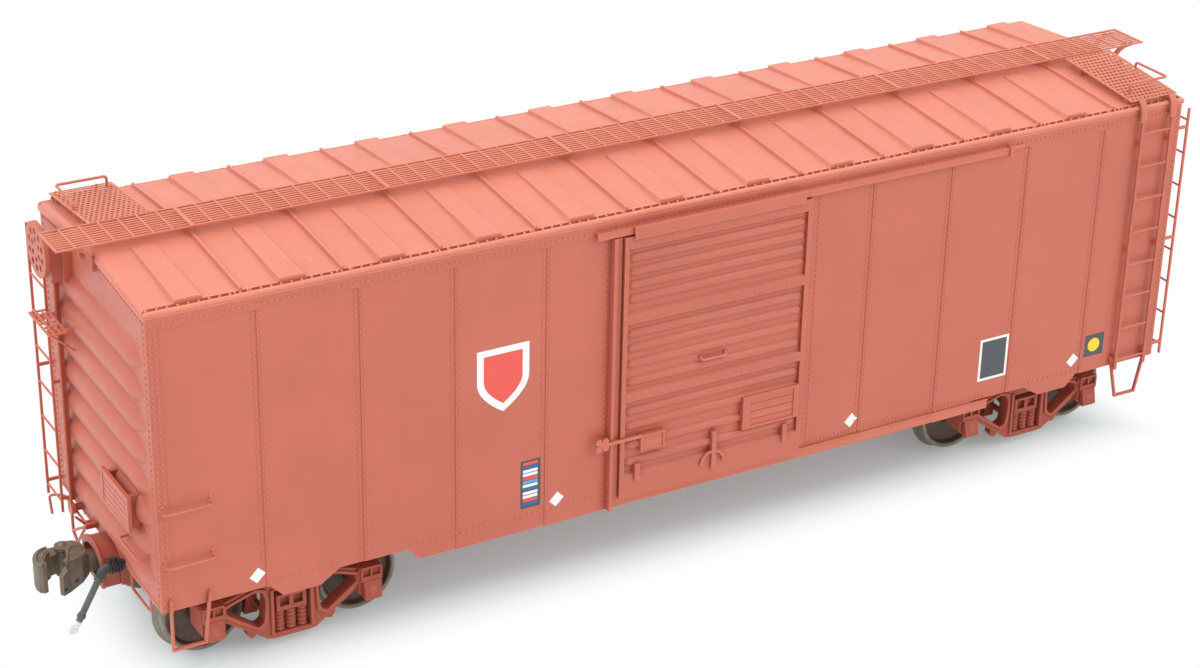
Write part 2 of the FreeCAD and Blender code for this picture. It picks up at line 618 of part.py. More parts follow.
def uncoupling_lever_brake():
    """The cut lever: a thin rod along the end sill on the knuckle's side, hanging down at its outer end."""
    x, z = -72.55, 12.15
    lever = bent_wire([(x - 1.6, 4.6, z + 1.9), (x, 4.9, z), (x, 13.4, z), (x - 1.6, 14.4, z),
                       (x - 1.6, 13.7, z - 2.3)], 0.16, 0.4)
    return fused([lever] + [box((x, -HALF_LENGTH), both(y, 0.2), both(z, 0.25)) for y in (5.8, 12.4)])


HOSE_Y = -4.9
HOSE_R = 0.44
HOSE_TOP = V(-74.3, HOSE_Y, 11.9)
HOSE_END = V(-77.65, HOSE_Y, 5.85)


def air_hose_brake():
    """An angle cock on the train line, and its moulded hose slanting down to the glad hand."""
    root = V(-HALF_LENGTH, HOSE_Y, 12.0)
    along = (HOSE_END - HOSE_TOP).normalize()
    pieces = [rod(root, root + V(-1.9, 0, 0), 0.6)]
    for start, length, radius in ((0.5, 0.3, 0.85), (1.0, 0.25, 0.8), (1.4, 0.35, 0.9)):
        pieces.append(rod(root + V(-start, 0, 0), root + V(-start - length, 0, 0), radius))
    pieces.append(box((-73.2, -72.9), both(HOSE_Y, 0.25), (12.5, 13.1)))
    pieces.append(box((-73.9, -72.9), both(HOSE_Y, 0.25), (12.95, 13.2)))
    pieces.append(bent_wire([tuple(root + V(-1.5, 0, 0)), tuple(HOSE_TOP), tuple(HOSE_END)], HOSE_R, 0.5))
    pieces.append(rod(HOSE_TOP + along * 1.2, HOSE_TOP + along * 1.7, HOSE_R + 0.12))
    pieces.append(rod(HOSE_END - along * 0.4, HOSE_END + along * 0.1, HOSE_R + 0.12))
    hand = HOSE_END + along * 0.9
    pieces.append(rod(HOSE_END, hand, 0.36))
    pieces.append(rod(hand + V(-0.3, -0.25, -0.1), hand + V(-0.3, 0.25, -0.1), 0.6))
    return fused(pieces)


# ---- couplers ------------------------------------------------------------------------
SHANK_HALF = 1.1
SHANK_Z = both(COUPLER_Z, 0.9)
HEAD_Z = both(COUPLER_Z, 1.9)
JAW_Z = both(COUPLER_Z, 1.4)
KNUCKLE_PIN = (10.9, 1.75)   # forward of the pivot, and to the knuckle's side
KNUCKLE_PIN_R = 0.3
COUPLER_PIN_R = 0.7
PIN_GAP = 0.08


def outward(points):
    """Coupler outlines, given as (forward, to the knuckle's side), laid out on the brake end."""
    return [(-COUPLER_PIVOT_X - a, b) for a, b in points]


def pin_at(forward, side, radius, z):
    (x, y), = outward([(forward, side)])
    return Part.makeCylinder(radius, z[1] - z[0], V(x, y, z[0]))


def coupler_brake():
    """Shank, head and guard arm, with two ears that hold the knuckle's pin."""
    tail = pin_at(0, 0, SHANK_HALF + 0.4, SHANK_Z)
    shank_plan = [(0, -SHANK_HALF), (9.2, -SHANK_HALF), (9.2, SHANK_HALF), (0, SHANK_HALF)]
    shank = slab("xy", outward(shank_plan), *SHANK_Z)
    plan = [(8.8, -1.3), (9.8, -2.0), (11.4, -2.4), (12.5, -3.0), (12.8, -2.5), (12.0, -1.6), (11.0, -0.9)]
    plan += [(11.0, 1.0), (10.4, 2.5), (9.4, 2.2), (8.8, 1.3)]
    side = [(8.6, 9.7), (9.8, 9.1), (11.4, 8.5), (12.9, 8.5), (12.9, 10.9), (11.7, 11.5), (11.9, HEAD_Z[1])]
    side += [(8.6, HEAD_Z[1])]
    head = slab("xy", outward(plan), HEAD_Z[0] - 1, HEAD_Z[1] + 1).common(slab("xz", outward(side), -4, 4))
    jaw = pin_at(*KNUCKLE_PIN, 1.15, JAW_Z)
    pits = []
    for forward, z, depth in ((12.15, 9.3, -2.5), (10.6, 9.7, -1.9)):
        (x, y), = outward([(forward, depth)])
        pits.append(rod((x, -5, z), (x, y, z), 0.3))
    ears = [pin_at(*KNUCKLE_PIN, 0.95, z) for z in ((HEAD_Z[0], JAW_Z[0]), (JAW_Z[1], HEAD_Z[1]))]
    pin = pin_at(*KNUCKLE_PIN, KNUCKLE_PIN_R, HEAD_Z)
    bore = pin_at(0, 0, COUPLER_PIN_R + PIN_GAP, SHANK_Z)
    body = fused([head, shank, tail]).cut(Part.makeCompound([jaw] + pits))
    return fused([body] + ears + [pin]).cut(bore)


def knuckle_brake():
    """The hinged knuckle: a hub on the pin and a curved arm, its nose turned in and deeper than the hub."""
    height = both(COUPLER_Z, 1.3)
    hub = pin_at(*KNUCKLE_PIN, 0.95, height)
    arm_plan = [(10.9, 2.7), (12.3, 2.8), (13.6, 2.45), (13.3, 0.7), (11.6, 1.1), (10.9, 1.6)]
    arm = slab("xy", outward(arm_plan), *height)
    nose = [(12.5, 2.75), (13.6, 2.45), (14.4, 1.7), (14.85, 0.7), (15.0, -0.4), (14.85, -1.3), (14.4, -1.75)]
    nose += [(13.9, -1.6), (13.72, -0.9), (13.7, -0.3), (13.3, 0.7), (12.6, 1.35)]
    deep = slab("xy", outward(nose), *both(COUPLER_Z - 0.1, 1.75))
    return fused([hub, arm, deep]).cut(pin_at(*KNUCKLE_PIN, KNUCKLE_PIN_R + PIN_GAP, height))


POCKET = {"x": (-HALF_LENGTH, -61.6), "half": 3.5, "low": 8.3, "wall": 0.6}


def coupler_pocket_brake():
    """The draft gear box under the plate, open in front, with the coupler's pivot pin."""
    half, wall, low = POCKET["half"], POCKET["wall"], POCKET["low"]
    mouth_x, rear_x = POCKET["x"]
    case = box((mouth_x, rear_x), (-half, half), (low, PAN_Z))
    room = box((mouth_x - 1, rear_x - wall), (wall - half, half - wall), (low + wall, PAN_Z - wall))
    pin = Part.makeCylinder(COUPLER_PIN_R, PAN_Z - low, V(-COUPLER_PIVOT_X, 0, low))
    return fused([case.cut(room), pin])


def arch(x, half, low, spring_z, crown_z, depth):
    """A block with a round top, its feet at low and its sides rising to spring_z."""
    a, b, c = V(x, -half, spring_z), V(x, 0, crown_z), V(x, half, spring_z)
    foot_a, foot_c = V(x, -half, low), V(x, half, low)
    edges = [Part.Arc(a, b, c).toShape(), Part.LineSegment(c, foot_c).toShape(),
             Part.LineSegment(foot_c, foot_a).toShape(), Part.LineSegment(foot_a, a).toShape()]
    return outward_solid(Part.Face(Part.Wire(edges)).extrude(V(depth, 0, 0)))


def striker_brake(end_wall):
    """The striking casting round the coupler's mouth: an arch on a carrier bar, with a flange in front."""
    x_out, low, carrier_z = -74.0, 8.3, 9.0
    casting = arch(x_out, 3.15, low, 11.9, 13.25, -HALF_LENGTH - x_out)
    flange = arch(x_out, 3.35, low, 12.0, 13.45, 0.4)
    mouth = arch(x_out - 1, 2.65, carrier_z, 11.5, 12.5, 4)
    return fused([casting, flange]).cut(mouth).cut(end_wall)


# ---- brake equipment under the floor ---------------------------------------------------
def air_reservoir():
    """A two-chamber tank with round ends, hung on two straps."""
    y, z, r, x0, x1 = -9.3, 9.2, 1.6, 1.2, 9.8
    profile = [(x0 + 0.5, r), (x1 - 0.5, r), (x1, r * 0.6), (x1, 0), (x0, 0), (x0, r * 0.6)]
    corners = [V(x, y, z + radius) for x, radius in profile]
    half_section = Part.Face(Part.makePolygon(corners + corners[:1]))
    tank = outward_solid(half_section.revolve(V(0, y, z), V(1, 0, 0), 360))
    flange = rod((5.2, y, z), (5.7, y, z), r + 0.25)
    straps = [box(both(x, 0.3), both(y, 0.5), (z + r - 0.2, PAN_Z)) for x in (3.0, 7.8)]
    return fused([tank, flange] + straps)


def brake_cylinder():
    """A cylinder with its flanged head and push rod, on a bracket."""
    y, z, r = 6.6, 9.4, 1.25
    body = rod((-19.2, y, z), (-14.6, y, z), r)
    head = rod((-14.6, y, z), (-14.2, y, z), r + 0.3)
    nose = rod((-14.2, y, z), (-12.9, y, z), 0.4)
    bracket = box((-18.2, -16.0), both(y, 0.7), (z, PAN_Z))
    return fused([body, head, nose, bracket])


def control_valve():
    """The valve: a pipe bracket with a round portion on each face."""
    x, y = -9.0, -9.3
    bracket = box(both(x, 0.9), both(y, 1.2), (9.4, PAN_Z))
    portions = rod((x - 2.0, y, 10.2), (x + 2.0, y, 10.2), 0.95)
    return fused([bracket, portions])


def brake_rods():
    """A floating lever with the rods that lead to the two trucks."""
    z = 9.4
    lever = slab("xy", [(-12.9, 7.2), (-12.3, 7.2), (-12.3, 3.0), (-12.9, 3.0)], z - 0.2, z + 0.2)
    near_rod = rod((-35.0, 3.4, z), (-12.6, 3.4, z), 0.2)
    far_rod = rod((-12.6, 5.2, z), (35.0, 5.2, z), 0.2)
    hangers = [box(both(x, 0.25), both(y, 0.2), (z, PAN_Z))
               for x, y in ((-34.0, 3.4), (34.0, 5.2), (0.0, 5.2))]
    return fused([lever, near_rod, far_rod] + hangers)


# ---- doors ---------------------------------------------------------------------------
DOOR_IN_Y = -17.05          # inner face of the near door
DOOR_SKIN_Y = -17.4         # its sheet between the bands and beads
DOOR_FRAME_Y = -17.8        # stiles, and the flat bands across
DOOR_GEAR_Y = -18.1         # outside of what is fixed on the door
STILE = 0.58
DOOR_BANDS_Z = ((DOOR_Z[0], 14.8), (24.5, 25.9), (34.9, 36.4), (44.7, DOOR_Z[1]))
BEADS_Z = (16.3, 18.6, 21.2, 23.2, 27.2, 29.6, 31.7, 33.6, 38.2, 40.0, 41.7, 43.5)
BEAD = {"half_width": 0.62, "height": 0.36}
BEAD_FADE = 0.7


def door_near():
    """A stamped steel door: three beaded panels between flat bands, stiff edges, and a track cover on top."""
    outline = [(DOOR_IN_Y, DOOR_Z[0]), (DOOR_FRAME_Y, DOOR_Z[0])]
    for lower, upper in zip(DOOR_BANDS_Z, DOOR_BANDS_Z[1:]):
        outline += [(DOOR_FRAME_Y, lower[1] - 0.15), (DOOR_SKIN_Y, lower[1] + 0.15)]
        outline += [(DOOR_SKIN_Y, upper[0] - 0.15), (DOOR_FRAME_Y, upper[0] + 0.15)]
    outline += [(DOOR_FRAME_Y, DOOR_Z[1]), (DOOR_IN_Y, DOOR_Z[1])]
    leaf = slab("yz", outline, *DOOR_X)
    stiles = [box(x, (DOOR_FRAME_Y, DOOR_IN_Y), DOOR_Z) for x in
              ((DOOR_X[0], DOOR_X[0] + STILE), (DOOR_X[1] - STILE, DOOR_X[1]))]
    middle = (DOOR_X[0] + DOOR_X[1]) / 2
    tip = (DOOR_X[1] - DOOR_X[0]) / 2 - STILE
    front = box(DOOR_X, (DOOR_FRAME_Y, DOOR_SKIN_Y + 0.15), DOOR_Z)
    beads = [pressed_rib(V(middle, DOOR_SKIN_Y, z), V(1, 0, 0), V(0, -1, 0), full=tip - BEAD_FADE, tip=tip,
                         **BEAD).common(front) for z in BEADS_Z]
    cover = box((DOOR_X[0] + 1.2, DOOR_X[1] - 1.2), (DOOR_FRAME_Y - 0.3, DOOR_FRAME_Y), (46.1, 47.7))
    return fused([leaf, cover] + stiles + beads)


def plate_on_door(x, z):
    return box(x, (DOOR_GEAR_Y, DOOR_SKIN_Y - 0.05), z)


def door_placard():
    """The large board, its field sunk a little and crossed by the joints of its slats."""
    board = plate_on_door((4.35, 12.6), (17.0, 21.5))
    field_x = (5.4, 11.85)
    cuts = [box(field_x, (DOOR_GEAR_Y - 1, DOOR_GEAR_Y + 0.12), (17.35, 21.15))]
    cuts += [box(field_x, (DOOR_GEAR_Y - 1, DOOR_GEAR_Y + 0.2), both(z, 0.05)) for z in (18.2, 19.25, 20.3)]
    return board.cut(Part.makeCompound(cuts))


def door_latch():
    """The latch plate with its bar, which reaches over the post to a four-lobed hook."""
    hook_x, hook_z, lobe = -15.65, 19.8, 0.42
    back = -17.85
    bar = box((hook_x, -10.0), (DOOR_GEAR_Y, back), both(19.75, 0.2))
    lobes = [rod((hook_x + u, DOOR_GEAR_Y, hook_z + w), (hook_x + u, back, hook_z + w), lobe)
             for u in (-0.45, 0.45) for w in (-0.45, 0.45)]
    lobes.append(rod((hook_x, DOOR_GEAR_Y, hook_z), (hook_x, back, hook_z), lobe))
    plate = plate_on_door((-10.3, -6.9), (17.6, 19.85))
    field = box((-10.1, -7.15), (DOOR_GEAR_Y - 1, DOOR_GEAR_Y + 0.12), (17.0, 19.6))
    return fused([plate.cut(field), bar] + lobes)


def door_gear_near(door):
    """What is fixed on the door: boards, latch, roller feet, handle and lifting bar."""
    feet = [plate_on_door((-11.0, -10.35), (13.85, 16.07)), plate_on_door((10.44, 11.05), (13.9, 16.35))]
    lift = plate_on_door((0.0, 0.65), (12.6, 17.8))
    loop_x, loop_z, loop_y = 0.17, 13.5, (DOOR_GEAR_Y, DOOR_GEAR_Y + 0.3)
    ring, eye = [rod((loop_x, loop_y[0], loop_z), (loop_x, loop_y[1], loop_z), r) for r in (1.78, 1.42)]
    loop = ring.cut(eye).common(box(both(loop_x, 2), loop_y, (loop_z, loop_z + 2)))
    handle_y, handle_z = -18.0, 28.1
    handle = bent_wire([(-1.9, DOOR_SKIN_Y, handle_z + 0.4), (-1.9, handle_y, handle_z),
                        (1.6, handle_y, handle_z), (1.6, DOOR_SKIN_Y, handle_z + 0.4)], 0.15, 0.25)
    return [piece.cut(door) for piece in [door_placard(), door_latch(), fused([lift, loop]), handle] + feet]


def door_track_near(wall):
    """The upper rail with its end stop, and the ledge under the door, creased along its middle."""
    rail = [(-HALF_WIDTH, 47.55), (-17.65, 47.55), (-17.65, 46.65), (-17.4, 46.65), (-17.4, 47.25),
            (-HALF_WIDTH, 47.25)]
    upper = slab("yz", rail, *TRACK_X)
    stop = box((TRACK_X[1] - 0.6, TRACK_X[1]), (-17.9, -HALF_WIDTH), (46.4, 47.7))
    foot = box((TRACK_X[1], TRACK_X[1] + 2.2), (-17.1, -HALF_WIDTH), (46.9, 47.4))
    low, top = LEDGE_Z
    ledge = [(-HALF_WIDTH, low), (-17.0, low), (-17.1, low + 0.15), (-16.98, 10.9), (-17.15, top - 0.2),
             (-17.15, top), (-HALF_WIDTH, top)]
    lower = slab("yz", ledge, POST_X[1], TRACK_X[1])
    return [fused([upper, stop, foot]).cut(wall), lower.cut(wall)]


def door_post_near():
    """The stop that the closed door meets, up the left of the opening, with a lower seal strip beside it."""
    post = box(POST_X, (-17.75, -HALF_WIDTH), (SILL_Z + 0.05, 46.5))
    seal = box((POST_X[1], DOOR_X[0] - 0.08), (-17.35, -HALF_WIDTH), (LEDGE_Z[1], 46.4))
    return fused([post, seal])


# ---- trucks ---------------------------------------------------------------------------
FRAME_Y = (11.0, 12.6)
JOURNAL_BOX = {"half": 1.75, "z": (2.9, 7.2), "y": (10.5, 13.4)}
BOLSTER_END_Z = (5.1, 7.2)
SPRING = {"pitch": 1.45, "y": 11.8, "r": 0.7, "groove": 0.17, "coils": 5, "z": (2.3, 5.1)}
SHOE_GAP = 0.3


def journal_box(x):
    """An axle box with two pockets over a slanted lid, which has a raised pad."""
    half, (low, high), (back, front) = JOURNAL_BOX["half"], JOURNAL_BOX["z"], JOURNAL_BOX["y"]
    outline = [(x - half, low + 0.8), (x - half + 0.7, low), (x + half - 0.7, low), (x + half, low + 0.8),
               (x + half, high - 0.4), (x + half - 0.4, high), (x - half + 0.4, high), (x - half, high - 0.4)]
    case = slab("xz", outline, back, front)
    lid_side = [(front, low + 0.2), (front + 0.65, low + 0.4), (front + 0.55, low + 1.1), (front, high - 0.9)]
    lid = slab("yz", lid_side, x - 1.3, x + 1.3)
    pad_side = [(front, low + 1.3), (front + 0.62, low + 1.3), (front + 0.42, low + 2.3), (front, low + 2.3)]
    pad = slab("yz", pad_side, x - 0.45, x + 0.45)
    saddle = box(both(x, half + 0.2), FRAME_Y, (6.6, 7.55))
    pocket_y, pocket_z = (front - 0.7, front + 1), (high - 0.8, high - 0.25)
    pockets = [box(both(x + u, 0.38), pocket_y, pocket_z) for u in (-0.62, 0.62)]
    return fused([case, lid, pad, saddle]).cut(Part.makeCompound(pockets))


def sideframe(truck_x):
    """One cast side frame: an arch with two rimmed windows, a bolster opening and journal boxes."""
    outline = [(0, 1.6), (2.7, 1.6), (4.6, 2.6), (8.2, 4.0), (8.2, 7.75), (3.2, 8.9), (0, 8.9)]
    pieces = [slab("xz", [(truck_x + u, z) for u, z in mirrored_points(outline)], *FRAME_Y)]
    rim_y = (FRAME_Y[0], FRAME_Y[1] + 0.22)
    windows = []
    for side in (-1, 1):
        window = [(truck_x + side * u, z) for u, z in ((7.3, 6.75), (4.35, 7.45), (4.05, 5.7), (4.75, 4.75))]
        pieces.append(grown(window, 0.95, rim_y))
        windows.append(grown(window, 0.55, (FRAME_Y[0] - 1, FRAME_Y[1] + 1)))
        lug = [(truck_x + side * u, z) for u, z in ((4.4, 2.2), (5.3, 2.2), (5.3, 3.2), (4.4, 3.2))]
        pieces.append(slab("xz", lug, FRAME_Y[0] + 0.4, FRAME_Y[1] + 0.15))
    pieces.append(box(both(truck_x, 1.1), (FRAME_Y[0] + 0.4, FRAME_Y[1] + 0.15), (1.3, 1.8)))
    for side in (-1, 1):
        pieces.append(box(both(truck_x + side * 2.55, 0.25), rim_y, (2.3, 7.9)))
    pieces += [journal_box(truck_x + side * HALF_WHEELBASE) for side in (-1, 1)]
    opening = box(both(truck_x, 2.3), (FRAME_Y[0] - 1, FRAME_Y[1] + 1), (2.3, 7.9))
    bores = [rod((x, FRAME_Y[0] - 1, AXLE_Z), (x, 12.5, AXLE_Z), JOURNAL_R + PIN_GAP)
             for x in (truck_x - HALF_WHEELBASE, truck_x + HALF_WHEELBASE)]
    return fused(pieces).cut(Part.makeCompound(windows + [opening] + bores))


def sideframes(truck_x):
    far = sideframe(truck_x)
    return [mirror_y(far), far]


def truck_bolster(truck_x):
    """The cross beam: deep in the middle, its ends resting on the springs, two pockets in each end face."""
    end = FRAME_Y[1] - 0.1
    end_low, end_high = BOLSTER_END_Z
    outline = [(4.5, 6.6), (9.8, end_low), (end, end_low), (end, end_high), (10.4, 7.3), (5.2, 8.8)]
    beam = slab("yz", mirrored_points(outline), truck_x - 1.9, truck_x + 1.9)
    plate = Part.makeCylinder(CENTRE_PLATE_R - 0.2, CENTRE_PLATE_Z - 8.8, V(truck_x, 0, 8.8))
    hole = Part.makeCylinder(KINGPIN_R + 0.1, 6, V(truck_x, 0, 5))
    pockets = []
    for y in ((end - 0.6, end + 1), (-end - 1, -end + 0.6)):
        for u in (-0.85, 0.85):
            pockets.append(box(both(truck_x + u, 0.6), y, (5.65, 6.9)))
    return fused([beam, plate]).cut(Part.makeCompound(pockets + [hole]))


def truck_springs(truck_x):
    """Three coil springs in each side frame, seated under the bolster's ends, as bars with grooves."""
    (low, high), coils = SPRING["z"], SPRING["coils"]
    wide, narrow = SPRING["r"], SPRING["r"] - SPRING["groove"]
    step = (high - low) / coils
    profile = [(0, low)]
    for k in range(coils):
        z = low + k * step
        profile += [(narrow, z), (wide, z + 0.3 * step), (wide, z + 0.7 * step)]
    profile += [(narrow, high), (0, high)]
    springs = []
    for y in (-SPRING["y"], SPRING["y"]):
        for u in (-SPRING["pitch"], 0, SPRING["pitch"]):
            corners = [V(truck_x + u + r, y, z) for r, z in profile]
            face = Part.Face(Part.makePolygon(corners + corners[:1]))
            springs.append(outward_solid(face.revolve(V(truck_x + u, y, 0), V(0, 0, 1), 360)))
    return springs


def brake_beams(truck_x):
    """Two beams between the side frames, each with a pair of shoes set off the wheels' treads."""
    beams = []
    for side in (-1, 1):
        axle_x = truck_x + side * HALF_WHEELBASE
        beam = box(both(truck_x + side * 3.3, 0.3), (-FRAME_Y[0], FRAME_Y[0]), (5.0, 5.6))
        shoes = []
        for y in (-8.9, 8.9):
            block = box(both(truck_x + side * 4.2, 1.1), both(y, 0.6), (3.9, 6.9))
            shoes.append(block.cut(rod((axle_x, y - 2, AXLE_Z), (axle_x, y + 2, AXLE_Z), TREAD_R + SHOE_GAP)))
        beams.append(fused([beam] + shoes))
    return beams


WHEEL_PROFILE = [(JOURNAL_R, 7.0), (1.5, 7.0), (1.7, 7.6), (4.1, 7.7), (4.3, FLANGE_BACK_Y),
                 (FLANGE_R - 0.25, FLANGE_BACK_Y), (FLANGE_R, 7.5), (TREAD_R + 0.1, 7.95),
                 (TREAD_R - 0.05, WHEEL_FACE_Y), (4.4, WHEEL_FACE_Y), (4.2, 8.6), (1.7, 8.4), (1.5, 9.4),
                 (JOURNAL_R, 9.4)]


def wheels(axle_x):
    """Two flanged wheels, rim and hub standing out from a dished plate."""
    right = turned(WHEEL_PROFILE, axle_x, AXLE_Z)
    return [mirror_y(right), right]


def axle(axle_x):
    """An axle, thicker between the wheels, with pointed ends in the journal boxes."""
    half = [(0, 12.4), (0.3, 12.4), (JOURNAL_R, 11.7), (JOURNAL_R, 7.0), (1.0, 6.9)]
    profile = half + [(r, -y) for r, y in reversed(half)]
    return turned(profile, axle_x, AXLE_Z)


# ---- build -----------------------------------------------------------------------------
ENDS = {"brake": -TRUCK_X, "plain": TRUCK_X}

save("underframe_plate", [underframe_plate()])
save("ballast_weight", [ballast_weight()])
save("floor_deck", [floor_deck()])
save("centre_sill", [centre_sill()])
save("body_bolsters", [body_bolster(x) for x in ENDS.values()])
save("kingpins", [kingpin(x) for x in ENDS.values()])
save("crossbearers", crossbearers())
save("train_line", [train_line()])
save("air_reservoir", [air_reservoir()])
save("brake_cylinder", [brake_cylinder()])
save("control_valve", [control_valve()])
save("brake_rods", [brake_rods()])

wall, end_wall, walk, door = side_wall_near(), end_wall_brake(), lateral_walk_near(), door_near()
end_ladder = end_ladder_brake(end_wall)
PAIRS = {
    "lateral_walks": [walk],
    "roof_grab_irons": [roof_grab_near(walk)],
    "side_ladders": [side_ladder_near(wall)],
    "end_ladders": [end_ladder],
    "tack_boards": [tack_board_brake(end_wall)],
    "uncoupling_levers": [uncoupling_lever_brake()],
    "air_hoses": [air_hose_brake()],
    "coupler_pockets": [coupler_pocket_brake()],
    "strikers": [striker_brake(end_wall)],
    "door_tracks": door_track_near(wall),
    "door_posts": [door_post_near().cut(wall)],
}
for node, shapes in PAIRS.items():
    save(node, shapes + [half_turn(shape) for shape in shapes])

save("side_wall_near", [wall])
save("side_wall_far", [half_turn(wall)])
save("end_wall_brake", [end_wall])
save("end_wall_plain", [half_turn(end_wall)])
save("roof", [roof()])
save("running_board", [running_board()])
save("running_board_saddles", running_board_saddles())
save("grab_irons", grab_irons(end_wall))
save("sill_steps", sill_steps(wall))
save("brake_wheel", [brake_wheel()])
save("brake_gear_housing", [brake_gear_housing().cut(end_wall)])
save("brake_step", [brake_step(end_wall, end_ladder)])
save("brake_rod", brake_rod(end_wall))

save("door_near", [door])
save("door_gear_near", door_gear_near(door))
save("door_far", [half_turn(door)])
save("door_gear_far", [half_turn(piece) for piece in door_gear_near(door)])

save("coupler_brake", [coupler_brake()])
save("knuckle_brake", [knuckle_brake()])
save("coupler_plain", [half_turn(coupler_brake())])
save("knuckle_plain", [half_turn(knuckle_brake())])

for end, truck_x in ENDS.items():
    save(f"truck_{end}_sideframes", sideframes(truck_x))
    save(f"truck_{end}_bolster", [truck_bolster(truck_x)])
    save(f"truck_{end}_springs", truck_springs(truck_x))
    save(f"truck_{end}_brake_beams", brake_beams(truck_x))

AXLES_X = [truck_x + side * HALF_WHEELBASE for truck_x in ENDS.values() for side in (-1, 1)]
for number, axle_x in enumerate(AXLES_X, 1):
    save(f"axle_{number}", [axle(axle_x)])
    save(f"wheels_{number}", wheels(axle_x))
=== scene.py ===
"""Looks for the railroad boxcar scale model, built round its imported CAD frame.

Lengths in the shape-making code are millimetres in the CAD's own frame (+X along the car with the
hand brake at -X, -Y the near side, +Z up); each piece is scaled to metres when it is made.
"""

import json
import math

import bpy
from mathutils import Matrix, Vector

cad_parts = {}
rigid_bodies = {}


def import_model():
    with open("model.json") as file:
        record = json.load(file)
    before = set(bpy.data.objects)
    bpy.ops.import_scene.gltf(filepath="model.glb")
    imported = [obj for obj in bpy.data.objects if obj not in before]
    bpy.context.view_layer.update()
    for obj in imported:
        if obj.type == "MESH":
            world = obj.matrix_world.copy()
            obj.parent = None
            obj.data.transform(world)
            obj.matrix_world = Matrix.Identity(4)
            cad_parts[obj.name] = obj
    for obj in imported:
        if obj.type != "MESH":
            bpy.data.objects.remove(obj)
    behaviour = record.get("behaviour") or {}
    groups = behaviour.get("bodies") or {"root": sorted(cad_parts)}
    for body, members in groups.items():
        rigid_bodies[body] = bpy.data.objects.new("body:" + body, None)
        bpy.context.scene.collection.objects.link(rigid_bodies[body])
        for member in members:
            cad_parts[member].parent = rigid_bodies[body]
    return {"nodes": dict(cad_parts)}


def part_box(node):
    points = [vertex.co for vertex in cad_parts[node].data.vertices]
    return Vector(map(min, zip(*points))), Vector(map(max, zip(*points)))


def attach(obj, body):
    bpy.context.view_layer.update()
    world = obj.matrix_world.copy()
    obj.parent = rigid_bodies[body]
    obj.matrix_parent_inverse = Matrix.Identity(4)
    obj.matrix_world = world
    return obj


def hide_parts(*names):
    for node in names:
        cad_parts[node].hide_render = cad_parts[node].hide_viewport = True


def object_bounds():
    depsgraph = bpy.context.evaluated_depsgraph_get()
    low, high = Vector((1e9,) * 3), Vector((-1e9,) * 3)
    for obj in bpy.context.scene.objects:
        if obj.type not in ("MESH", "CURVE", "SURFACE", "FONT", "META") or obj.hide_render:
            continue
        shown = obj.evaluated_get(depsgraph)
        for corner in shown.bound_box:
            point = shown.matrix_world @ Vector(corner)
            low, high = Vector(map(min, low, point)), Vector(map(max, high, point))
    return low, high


MM = 0.001
SHARP_DEG = 35              # edges sharper than this stay crisp under smooth shading
RIVET_SINK = 0.04           # how far a rivet head goes into the surface under it
GAP = 0.01                  # keeps pieces that cross from sharing a face

for leftover in list(bpy.data.objects):
    bpy.data.objects.remove(leftover)
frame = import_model()
cad_low, cad_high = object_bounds()


def limits(node):
    """Lowest and highest corner of a CAD node, in millimetres."""
    low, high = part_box(node)
    return low / MM, high / MM


